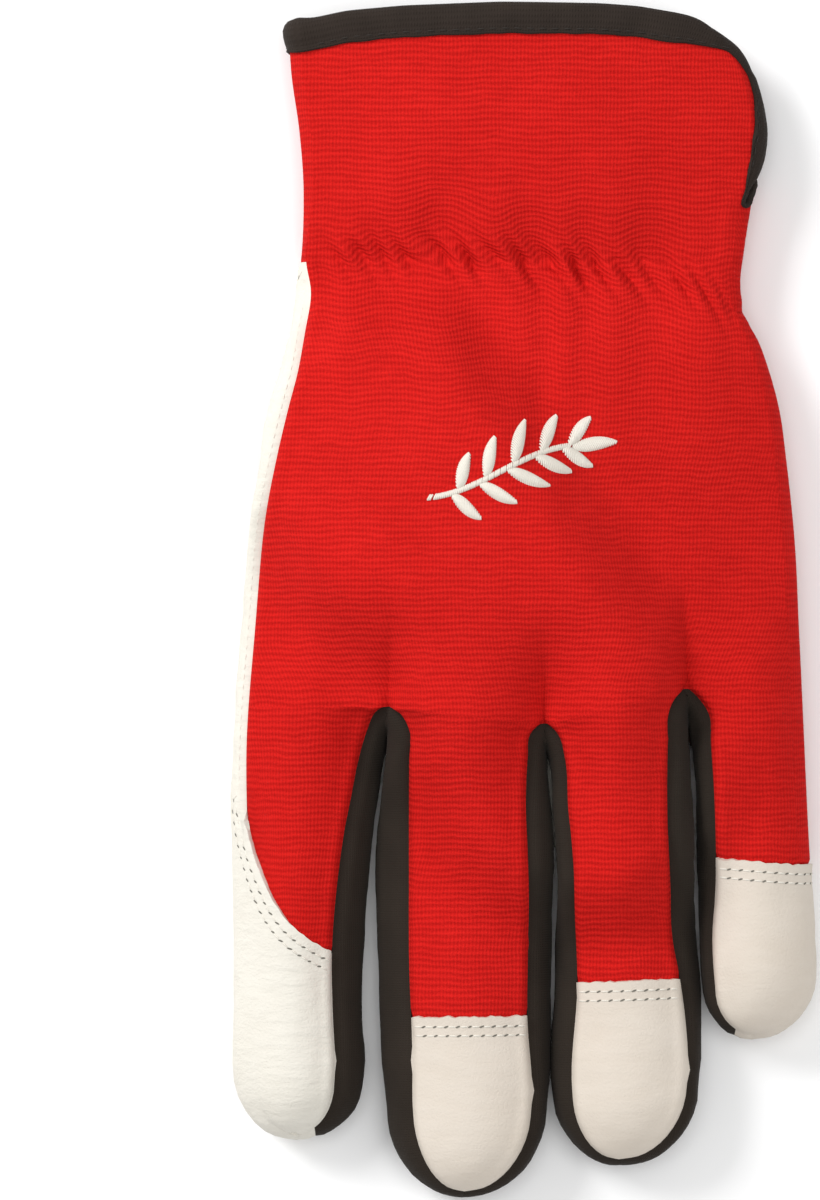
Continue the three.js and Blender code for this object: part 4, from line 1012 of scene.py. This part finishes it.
def binding_rings(skin, tree):
    """The middle line of the binding, with the cloth's normals there and the ways in from the edge."""
    order = even(skin.points[open_loop(skin)], BINDING_STEP)
    at_corner = 1 - ease((np.linalg.norm(order[:, :2] - MOUTH_CORNER, axis=1) - 2) / 8)
    places = mix(settle(order, 3), settle(order, 16), at_corner[:, None])
    ahead = unit(np.roll(places, -1, axis=0) - np.roll(places, 1, axis=0))
    normals = settle(np.array([tree.find_nearest(Vector(place))[1] for place in places]), 6)
    ways = settle(unit(np.cross(normals, ahead)), 4)
    # On the cloth, a point 3 mm in lies close to it, and one 3 mm out doesn't
    if tree.find_nearest(Vector(places[0] + ways[0] * 3))[3] > 1.5:
        ways = -ways
    return places, normals, ways


def binding_object(skin, tree):
    """The binding, a folded tape that wraps the cuff's open edge, and the lines that it is sewn along."""
    places, normals, ways = binding_rings(skin, tree)
    knob = bell(np.linalg.norm(places - KNOB, axis=1), KNOB_REACH)
    widths = np.where(places[:, 0] > 30, look_up(VENT_TAPER, along_at(places[:, 1])), 1)

    def on_cloth(place):
        found, facing, _, _ = tree.find_nearest(Vector(place))
        return np.array(found), np.array(facing)

    vertices, stitch_lines = [], [[]]
    for place, normal, way, thick, width in zip(places, normals, ways, knob, widths):
        wave = 0.16 * noise.noise(Vector(place / 4))
        narrow = min(1, 0.25 + 1.5 * width)
        for depth, out in BINDING_PROFILE:
            swell = narrow * (1 + KNOB_SWELL * thick * (out + 0.5 > 0))
            if depth > 0:
                found, facing = on_cloth(place + way * (depth * width * (1 + wave * 0.3)))
                vertices.append(found + facing * (out * swell + wave * 0.5))
            else:
                vertices.append(place + way * depth * swell + normal * (out * swell + wave * 0.3))
        if width > NARROWEST_STITCHED:
            found, facing = on_cloth(place + way * BINDING_STITCH_IN * width)
            stitch_lines[-1].append((found + facing * BINDING_STITCH_OUT, facing))
        elif stitch_lines[-1]:
            stitch_lines.append([])
    rings, round_it = len(places), len(BINDING_PROFILE)
    faces, cloth = [], []
    for i in range(rings):
        for j in range(round_it):
            here, after = i * round_it, (i + 1) % rings * round_it
            onward = (j + 1) % round_it
            faces.append((here + j, after + j, after + onward, here + onward))
            cloth += [((i + di) * BINDING_STEP, (j + dj) * BINDING_STEP_ROUND)
                      for di, dj in ((0, 0), (1, 0), (1, 1), (0, 1))]
    obj = closed_object("cuff_binding_worn", vertices, faces, 60, cloth)
    return obj, [line for line in stitch_lines if len(line) > 3]


def contours(skin, chosen, field, level):
    """Lines on the chosen faces where a field takes a level, each as its points and the normals there."""
    steps = {}
    points = {}
    for i in chosen:
        face = skin.faces[i]
        cuts = []
        for a, b in zip(face, face[1:] + face[:1]):
            if (field[a] < level) != (field[b] < level):
                key = (min(a, b), max(a, b))
                share = (level - field[key[0]]) / (field[key[1]] - field[key[0]])
                points[key] = (mix(skin.points[key[0]], skin.points[key[1]], share),
                               mix(skin.way_out[key[0]], skin.way_out[key[1]], share))
                cuts.append(key)
        if len(cuts) == 2:
            steps.setdefault(cuts[0], []).append(cuts[1])
            steps.setdefault(cuts[1], []).append(cuts[0])
    lines = []
    left = set(steps)
    while left:
        ends = [key for key in left if len(steps[key]) == 1]
        key = min(ends) if ends else min(left)
        line = []
        while key in left:
            left.discard(key)
            line.append(key)
            following = [other for other in steps[key] if other in left]
            if following:
                key = following[0]
        if len(line) > 3:
            lines.append([points[key] for key in line])
    return lines


class Run:
    """A line of points with normals, looked up by the length along it."""

    def __init__(self, line):
        self.points = np.array([point for point, _ in line])
        self.normals = np.array([normal for _, normal in line])
        self.lengths = lengths_along(self.points)
        self.length = self.lengths[-1]

    def look(self, values, place):
        return np.array([np.interp(place, self.lengths, values[:, k]) for k in range(3)])

    def frame(self, place, half, shortest):
        """The point there, the way ahead and the normal, or nothing where the line turns too sharply."""
        ahead = self.look(self.points, place + half) - self.look(self.points, place - half)
        if np.linalg.norm(ahead) < shortest:
            return None
        return self.look(self.points, place), unit(ahead), unit(self.look(self.normals, place))


def add_tube(vertices, faces, rings, sides=6):
    """Adds a closed tube to a mesh, through rings given by their centres, sideways radii and upward radii."""
    start = len(vertices)
    for centre, aside, up in rings:
        for angle in np.arange(sides) * 2 * math.pi / sides:
            vertices.append(centre + aside * math.cos(angle) + up * math.sin(angle))
    last = len(vertices) - sides
    for ring in range(start, last, sides):
        for k in range(sides):
            a, b = ring + k, ring + (k + 1) % sides
            faces.append((a, b, b + sides, a + sides))
    faces += [tuple(range(start, start + sides))[::-1], tuple(range(last, last + sides))]


# A stitch's form: places along it, as shares of its length, and how thick it is there
STITCH_FORM = ((-0.5, 0.25), (-0.36, 0.85), (0, 1), (0.36, 0.85), (0.5, 0.25))
THREAD_FLATNESS = 0.8


def stitches(name, runs, length, thickness):
    """Stitches along lines, each a small rounded bar that sinks in at its two ends."""
    vertices, faces = [], []
    for line, pitch in runs:
        run = Run(line)
        if run.length < pitch:
            continue
        for middle in np.arange(pitch / 2, run.length, pitch):
            framed = run.frame(middle, length / 2, length * 0.3)
            if not framed:
                continue
            centre, ahead, up = framed
            up = unit(up - ahead * (up @ ahead))
            aside = np.cross(up, ahead)
            skewed = ahead * length + aside * 0.2 * noise.noise(Vector(centre))
            add_tube(vertices, faces, [
                (centre + skewed * share - up * (1 - size) * thickness * 0.55,
                 aside * thickness / 2 * size, up * THREAD_FLATNESS * thickness / 2 * size)
                for share, size in STITCH_FORM
            ])
    return closed_object(name, vertices, faces)


def needle_hole_shadows(name, runs, length, width):
    """Painted shadow in the needle hole between one stitch and the next, as a flat slanted dark sliver on the
    leather.
    """
    vertices, faces = [], []
    for line, pitch in runs:
        run = Run(line)
        for middle in np.arange(pitch, run.length - pitch / 2, pitch):
            framed = run.frame(middle, 0.8, 0.8)
            if not framed:
                continue
            centre, ahead, up = framed
            aside = np.cross(up, ahead)
            slanted = (ahead + aside * 0.35) * length / 2 * (1 + 0.35 * noise.noise(Vector(centre)))
            faces.append(tuple(range(len(vertices), len(vertices) + 8)))
            for angle in np.arange(8) * math.pi / 4:
                ring = slanted * math.cos(angle) + aside * math.sin(angle) * width / 2
                vertices.append(centre + ring + up * 0.07)
    return new_object(name, vertices, faces)


# The sprig worked on the back of the hand: a stem with leaves in pairs, in satin stitch
SPRIG_CENTRE = plan(0.393, -0.008)
SPRIG_HALF = 18.5
LEAF_LENGTH = 9.5
LEAF_WIDTH = 3.4
LEAF_PAIRS = 5
TOP_LEAF_ROOM = 7
STEM_RISE = 5.5
STEM_TURN = 0.9 * math.pi
STEM_STEPS = 24
STEM_HALF_WIDTH = 0.62
THREAD_PITCH = 0.42
THREAD_THICKNESS = 0.4


def stem_at(share):
    """The stem's place from its foot, 0, to its top leaf, 1, and its way there."""
    x = mix(-SPRIG_HALF, SPRIG_HALF - TOP_LEAF_ROOM, share)
    angle = (share - 0.5) * STEM_TURN
    slope = STEM_RISE * math.cos(angle) * STEM_TURN / (2 * SPRIG_HALF - TOP_LEAF_ROOM)
    return SPRIG_CENTRE + [x, STEM_RISE * math.sin(angle)], unit(np.array([1, slope]))


def satin(start, way, length, half_width, slant, tree):
    """Threads laid side by side across a shape, each over a low arch."""
    aside = np.array([-way[1], way[0]])
    lay = aside * math.cos(slant) + way * math.sin(slant)
    threads = []
    for step in range(int(length / THREAD_PITCH)):
        share = (step + 0.5) * THREAD_PITCH / length
        half = half_width(share)
        if half < 0.18:
            continue
        middle = start + way * share * length
        line = []
        for k in range(7):
            across = k / 3 - 1
            place = middle + lay * across * half
            hit, normal, _, _ = tree.ray_cast(Vector((*place, 60)), Vector((0, 0, -1)))
            out = 0.1 + 0.5 * min(1, half / 1.4) * (1 - across**2) - 0.12 * abs(across) ** 8
            line.append(np.array(hit) + np.array(normal) * out)
        threads.append(line)
    return threads


def leaf_width(share):
    return LEAF_WIDTH / 2 * math.sin(math.pi * min(1, share**0.8)) ** 0.8 if 0 < share < 1 else 0


def sprig_threads(tree):
    threads = []
    for step in range(STEM_STEPS):
        place, way = stem_at(step / STEM_STEPS)
        length = float(np.linalg.norm(stem_at((step + 1) / STEM_STEPS)[0] - place))
        threads += satin(place, way, length, lambda share: STEM_HALF_WIDTH, 0.6, tree)
    for pair in range(LEAF_PAIRS):
        for side in (-1, 1):
            place, way = stem_at(0.14 + 0.19 * pair + (0.05 if side > 0 else 0))
            turn = side * math.radians(52 - 3 * pair)
            out = np.array([way[0] * math.cos(turn) - way[1] * math.sin(turn),
                            way[0] * math.sin(turn) + way[1] * math.cos(turn)])
            size = 1 - 0.1 * abs(pair - 1.8)
            threads += satin(place + out * 0.9, out, LEAF_LENGTH * size, leaf_width, side * 0.7, tree)
    place, way = stem_at(1)
    threads += satin(place, way, LEAF_LENGTH, leaf_width, 0.6, tree)
    return threads


def thread_object(name, threads):
    vertices, faces = [], []
    for line in np.array(threads):
        ahead = unit(np.gradient(line, axis=0))
        aside = unit(np.cross(ahead, [0, 0, 1.0]))
        up = np.cross(aside, ahead) * THREAD_FLATNESS * THREAD_THICKNESS / 2
        add_tube(vertices, faces, zip(line, aside * 1.1 * THREAD_THICKNESS / 2, up))
    return closed_object(name, vertices, faces)


# Materials
class Finish:
    """One material, with its nodes added a step at a time. Its lengths are millimetres."""

    def __init__(self, name, roughness, sheen=0.0, specular=0.3):
        self.material = bpy.data.materials.new(name)
        self.material.use_nodes = True
        self.tree = self.material.node_tree
        self.shader = self.tree.nodes["Principled BSDF"]
        self.shader.inputs["Roughness"].default_value = roughness
        self.shader.inputs["Sheen Weight"].default_value = sheen
        self.shader.inputs["Sheen Roughness"].default_value = 0.5
        self.shader.inputs["Specular IOR Level"].default_value = specular

    def join(self, value, socket):
        if isinstance(value, bpy.types.NodeSocket):
            self.tree.links.new(value, socket)
        else:
            socket.default_value = value

    def add(self, kind, inputs, **settings):
        node = self.tree.nodes.new(kind)
        for key, value in settings.items():
            setattr(node, key, value)
        for key, value in inputs.items():
            self.join(value, node.inputs[key])
        return node

    def math(self, operation, a, b=0.0, c=0.0):
        return self.add("ShaderNodeMath", {0: a, 1: b, 2: c}, operation=operation).outputs[0]

    def plus(self, total, value, share, middle=0):
        """A total, with a share of a value's way from its middle added."""
        if middle:
            value = self.math("SUBTRACT", value, middle)
        return self.math("MULTIPLY_ADD", value, share, total)

    def noise(self, where, pitch, detail=3.0, rough=0.5, stretch=(1, 1, 1)):
        """Noise from 0 to 1 with features about pitch millimetres across."""
        scale = tuple(1 / (pitch * s) for s in stretch)
        scaled = self.add("ShaderNodeMapping", {"Vector": where, "Scale": scale})
        settings = {"Vector": scaled.outputs[0], "Scale": 1.0, "Detail": detail, "Roughness": rough}
        return self.add("ShaderNodeTexNoise", settings).outputs[0]

    def object_mm(self):
        place = self.add("ShaderNodeTexCoord", {}).outputs["Object"]
        return self.add("ShaderNodeMapping", {"Vector": place, "Scale": (1000, 1000, 1000)}).outputs[0]

    def cloth_mm(self):
        return self.add("ShaderNodeUVMap", {}, uv_map="cloth_mm").outputs[0]

    def split(self, where):
        return self.add("ShaderNodeSeparateXYZ", {0: where}).outputs

    def wave(self, value, pitch):
        """A wave from 0 to 1 along a length."""
        turned = self.math("MULTIPLY", value, 2 * math.pi / pitch)
        return self.plus(0.5, self.math("SINE", turned), 0.5)

    def blend(self, share, a, b):
        node = self.add("ShaderNodeMix", {}, data_type="RGBA")
        self.join(share, node.inputs[0])
        self.join(a, node.inputs[6])
        self.join(b, node.inputs[7])
        return node.outputs[2]

    def ramp(self, value, low, high):
        inputs = {0: value, 1: low, 2: high}
        return self.add("ShaderNodeMapRange", inputs, interpolation_type="SMOOTHSTEP").outputs[0]

    def bump(self, height, depth, strength=1.0):
        node = self.add("ShaderNodeBump", {"Height": height, "Distance": depth * MM, "Strength": strength})
        self.join(node.outputs[0], self.shader.inputs["Normal"])

    def colour(self, value):
        self.join(value, self.shader.inputs["Base Color"])

    def rough(self, value, low, high):
        spread = self.add("ShaderNodeMapRange", {0: value, 3: low, 4: high}).outputs[0]
        self.join(spread, self.shader.inputs["Roughness"])


RIB_PITCH = 1.28
WALE_PITCH = 0.78


def ribbed_cloth():
    f = Finish("red_cloth", 0.9, specular=0.06)
    where = f.cloth_mm()
    drift = f.noise(where, 9, 2)
    x, y, _ = f.split(where)
    rib = f.wave(f.plus(y, drift, 1.6), RIB_PITCH)
    wale = f.wave(f.plus(x, drift, 1.2), WALE_PITCH)
    fibre = f.noise(where, 0.34, 3, 0.65)
    uneven = f.noise(where, 2.6, 3, 0.6, (2.2, 0.5, 1))
    f.bump(f.plus(f.plus(rib, wale, 0.55), fibre, 1.1), 0.15, 0.75)
    # Painted shade: the colour darkens in the valleys between ribs and wales, where the bump is lowest; the
    # fibre and uneven noise add tone that differs at random
    share = f.plus(f.math("MULTIPLY", wale, 0.4), rib, 0.55)
    share = f.plus(f.plus(share, fibre, 1.9, 0.5), uneven, 0.8, 0.5)
    cloudy = f.noise(f.object_mm(), 16, 3)
    bright = f.blend(cloudy, (0.595, 0.0122, 0.0098, 1), (0.69, 0.017, 0.0138, 1))
    dark = f.blend(cloudy, (0.345, 0.0052, 0.0044, 1), (0.42, 0.007, 0.006, 1))
    f.colour(f.blend(f.ramp(share, -0.3, 1.25), dark, bright))
    f.rough(fibre, 0.84, 0.98)
    return f.material


def cowhide(name, low, high, wrinkle):
    """Leather between two tones, with a share of wrinkles."""
    f = Finish(name, 0.6, specular=0.18)
    where = f.object_mm()
    grain = f.noise(where, 0.6, 4, 0.6)
    pores = f.add("ShaderNodeTexVoronoi", {"Vector": where, "Scale": 1 / 0.9}, feature="DISTANCE_TO_EDGE")
    pebble = f.ramp(pores.outputs[0], 0.0, 0.28)
    folds = f.noise(where, 4.5, 4, 0.55, (2.2, 0.6, 1))
    height = f.plus(f.math("MULTIPLY", pebble, 0.16), folds, 3.5 * wrinkle)
    f.bump(f.plus(height, grain, 0.35), 0.2, 0.7)
    patchy = f.noise(where, 13, 3)
    # The tone is partly patchy at random and partly painted shade: darker where the folds' bump is lowest, in
    # the wrinkles' hollows
    f.colour(f.blend(f.plus(f.math("MULTIPLY", patchy, 0.5), folds, 0.5), low, high))
    f.rough(grain, 0.55, 0.78)
    return f.material


def dark_cloth(name, pitches, fuzz_size, fuzz_share, bump, cloud, roughest, low, high):
    """Knit or tape: loops or a weave along its cloth, with a fuzz over them."""
    f = Finish(name, 0.9, sheen=0.02, specular=0.12)
    x, y, _ = f.split(f.cloth_mm())
    loops = f.math("MULTIPLY", f.wave(x, pitches[0]), f.wave(y, pitches[1]))
    fuzz = f.noise(f.object_mm(), fuzz_size, 4)
    f.bump(f.plus(loops, fuzz, fuzz_share), *bump)
    f.colour(f.blend(f.noise(f.object_mm(), cloud, 3), low, high))
    f.rough(fuzz, 0.78, roughest)
    return f.material


def patch_cloth():
    f = Finish("patch_cloth", 0.92, sheen=0.02, specular=0.1)
    x, y, _ = f.split(f.object_mm())
    weave = f.math("MAXIMUM", f.wave(x, 1.1), f.wave(y, 1.1))
    fuzz = f.noise(f.object_mm(), 0.5, 4)
    f.bump(f.plus(weave, fuzz, 0.5), 0.25, 0.9)
    # Painted shade: the cloth is darker in the gaps between its threads, where the weave's bump is lowest
    f.colour(f.blend(weave, (0.014, 0.008, 0.006, 1), (0.04, 0.0235, 0.0175, 1)))
    f.rough(fuzz, 0.82, 0.96)
    return f.material


def thread_finish(name, colour, roughness):
    f = Finish(name, roughness, specular=0.2)
    fibre = f.noise(f.object_mm(), 0.25, 3)
    f.bump(fibre, 0.05, 0.5)
    darker = tuple(0.8 * value for value in colour[:3]) + (1,)
    f.colour(f.blend(fibre, darker, colour))
    return f.material


def paint(obj, material, slot, *nodes):
    obj.data.materials.clear()
    obj.data.materials.append(material)
    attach(obj, "root")
    if nodes:
        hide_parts(*nodes)
    return obj


def add_threads(skin, thumb, tree, patch_edges, binding_lines, finishes):
    """Everything worked in thread, one object for each kind. A run is a line with its stitches' pitch."""
    clear = (skin.to_sewn[skin.fans] > 0.9).all(axis=1)
    leather = np.flatnonzero(~np.isin(skin.panels, ("back_panel", "palm_cuff", *STRIPS)) & clear)
    raised = copy.copy(skin)
    raised.points = skin.points + skin.way_out * leather_rise(skin)[:, None]
    runs = [(line, 2.5) for row in STITCH_ROWS for line in contours(raised, leather, skin.to_lap, row)]
    paint(stitches("leather_stitches", runs, 1.75, 0.42), finishes["pale_thread"], "cowhide")
    # Painted shadow: dark slivers stand for the shade in each needle hole between the leather's stitches
    paint(needle_hole_shadows("needle_hole_shadows", runs, 0.95, 0.4), finishes["shadow"], "cowhide")
    side = np.flatnonzero((skin.panels == "palm_panel") & (skin.parts == "side"))
    field = distance_to(skin.points, seams_between(skin, "back_panel", "palm_panel"))
    field[field < 0.01] = 0
    runs = [(line, 2.1) for line in contours(skin, side, field, 1.5)]
    field = distance_to(thumb.points, [edge for edge, owners in thumb.seams])
    thumb_leather = np.flatnonzero(thumb.panels == "thumb_leather")
    runs += [(line, 2.5) for line in contours(thumb, thumb_leather, field, 1.8)]
    patch_runs = [(line, 2.4) for line in patch_edges]
    binding_runs = [(line, 2.6) for line in binding_lines]
    paint(stitches("seam_stitches", runs, 1.4, 0.32), finishes["pale_thread"], "cowhide")
    paint(stitches("patch_stitches", patch_runs, 1.6, 0.4), finishes["dark_thread"], "patch_cloth")
    paint(stitches("binding_stitches", binding_runs, 1.7, 0.36), finishes["dark_thread"], "dark_binding")
    paint(thread_object("sprig", sprig_threads(tree)), finishes["pale_thread"], "cowhide")


def patch_edge_line(grid):
    """A line just inside a patch's edge, on its underside, with normals that face down."""
    line = np.vstack([grid[-4], grid[-4, :1]])
    line[:, 2] -= 0.05
    return [(point, np.array([0.0, 0.0, -1.0])) for point in line]


def build_glove():
    finishes = {
        "red_cloth": ribbed_cloth(),
        "palm_leather": cowhide("palm_leather", (0.64, 0.605, 0.53, 1), (0.75, 0.725, 0.66, 1), 1.0),
        "cap_leather": cowhide("cap_leather", (0.58, 0.51, 0.43, 1), (0.67, 0.61, 0.54, 1), 0.35),
        "dark_knit": dark_cloth("dark_knit", (0.55, 0.5), 0.5, 0.6, (0.12, 0.6), 9, 0.95,
                                (0.0185, 0.0138, 0.0102, 1), (0.0285, 0.0215, 0.0162, 1)),
        "dark_binding": dark_cloth("dark_binding", (0.6, 0.6), 0.6, 0.7, (0.16, 0.8), 6, 0.96,
                                   (0.0195, 0.0143, 0.0112, 1), (0.0325, 0.0238, 0.019, 1)),
        "patch_cloth": patch_cloth(),
        "pale_thread": thread_finish("pale_thread", (0.78, 0.74, 0.66, 1), 0.6),
        "dark_thread": thread_finish("dark_thread", (0.03, 0.024, 0.02, 1), 0.7),
        "shadow": thread_finish("shadow", (0.17, 0.16, 0.135, 1), 0.9),
    }
    skin = Skin(skin_grids())
    shape_skin(skin)
    tree = surface_tree(skin)
    back_tucked = tucked_faces(skin, "back", BASE_ROWS, CAPS)
    cuff_tucked = tucked_faces(skin, "palm", WRIST_ROW, ["palm_panel"])
    cuff_tucked = cuff_tucked[skin.points[skin.fans[cuff_tucked]].mean(axis=1)[:, 1] > 40]
    for name, tucked in (("back_panel", back_tucked), ("palm_cuff", cuff_tucked)):
        paint(cloth_panel(skin, name, tucked), finishes["red_cloth"], "red_cloth", name)
    for name in CAPS:
        leather = finishes["palm_leather" if name == "palm_panel" else "cap_leather"]
        paint(leather_panel(skin, name), leather, "cowhide", name)
    for name in STRIPS:
        strip = panel_object(skin, name, CLOTH_WALL, np.zeros(len(skin.points)))
        paint(strip, finishes["dark_knit"], "dark_knit", name)
    binding, binding_lines = binding_object(skin, tree)
    paint(binding, finishes["dark_binding"], "dark_binding", "cuff_binding")
    thumb = thumb_skin()
    for name, wall, finish, slot in (("thumb_leather", LEATHER_WALL, "palm_leather", "cowhide"),
                                     ("thumb_back", CLOTH_WALL, "red_cloth", "red_cloth")):
        paint(panel_object(thumb, name, wall, np.zeros(len(thumb.points))), finishes[finish], slot, name)
    palm_tree = surface_tree(skin, np.flatnonzero(skin.parts == "palm"))
    edges = []
    for name, outline, centre in (("heel_patch", HEEL_OUTLINE, (0.4, 0.22)),
                                  ("knuckle_patch", KNUCKLE_OUTLINE, (0.588, 0.262))):
        patch, grid = patch_object(name, outline, centre, palm_tree)
        paint(patch, finishes["patch_cloth"], "patch_cloth", name)
        edges.append(patch_edge_line(grid))
    add_threads(skin, thumb, tree, edges, binding_lines, finishes)


# Floor, light and camera, in metres
PHOTO_PIXEL = 0.209 * MM
PHOTO_SIZE = (820, 1200)
GLOVE_MIDDLE_PIXEL = (525, 600.5)
CAMERA_HEIGHT = 2.4
# The height of the glove's outline, where the photograph's scale was taken
OUTLINE_HEIGHT = 0.012
FLOOR_SIZE, FLOOR_DROP = 6, 0.0002
WORLD_STRENGTH = 0.46
# Each light's place, size and watts
LIGHTS = [
    ("key", (-0.95, 0.75, 0.85), 0.6, 17),
    ("top", (0.1, 0.1, 1.9), 1.4, 14),
    ("fill", (0.9, -0.5, 0.9), 1.0, 3),
]


def add_floor():
    bpy.ops.mesh.primitive_plane_add(size=FLOOR_SIZE, location=(0, 0, -FLOOR_DROP))
    floor = bpy.context.object
    floor.name = "floor"
    f = Finish("floor_paper", 0.8, specular=0.1)
    f.colour(f.blend(f.noise(f.object_mm(), 400, 2), (0.94, 0.94, 0.94, 1), (0.96, 0.96, 0.96, 1)))
    floor.data.materials.append(f.material)


def add_light(name, place, size, watts):
    light = bpy.data.lights.new(name, "AREA")
    light.size = size
    light.energy = watts
    lamp = link(name, light)
    lamp.location = place
    lamp.rotation_mode = "QUATERNION"
    lamp.rotation_quaternion = (-Vector(place)).to_track_quat("-Z", "Y")
    lamp.visible_camera = False


def add_camera():
    camera = bpy.data.cameras.new("camera")
    camera.lens = camera.sensor_width * CAMERA_HEIGHT / (PHOTO_SIZE[1] * PHOTO_PIXEL)
    camera.clip_end = 20
    made = link("camera", camera)
    x = (PHOTO_SIZE[0] / 2 - GLOVE_MIDDLE_PIXEL[0]) * PHOTO_PIXEL
    y = (GLOVE_MIDDLE_PIXEL[1] - PHOTO_SIZE[1] / 2) * PHOTO_PIXEL
    made.location = (x, y, CAMERA_HEIGHT + OUTLINE_HEIGHT)
    bpy.context.scene.camera = made


def add_world():
    world = bpy.data.worlds.new("studio")
    world.use_nodes = True
    background = world.node_tree.nodes["Background"].inputs
    background[0].default_value = (1, 1, 1, 1)
    background[1].default_value = WORLD_STRENGTH
    bpy.context.scene.world = world


build_glove()
add_floor()
for name, place, size, watts in LIGHTS:
    add_light(name, place, size, watts)
add_world()
add_camera()
bpy.context.scene.view_settings.view_transform = "Standard"
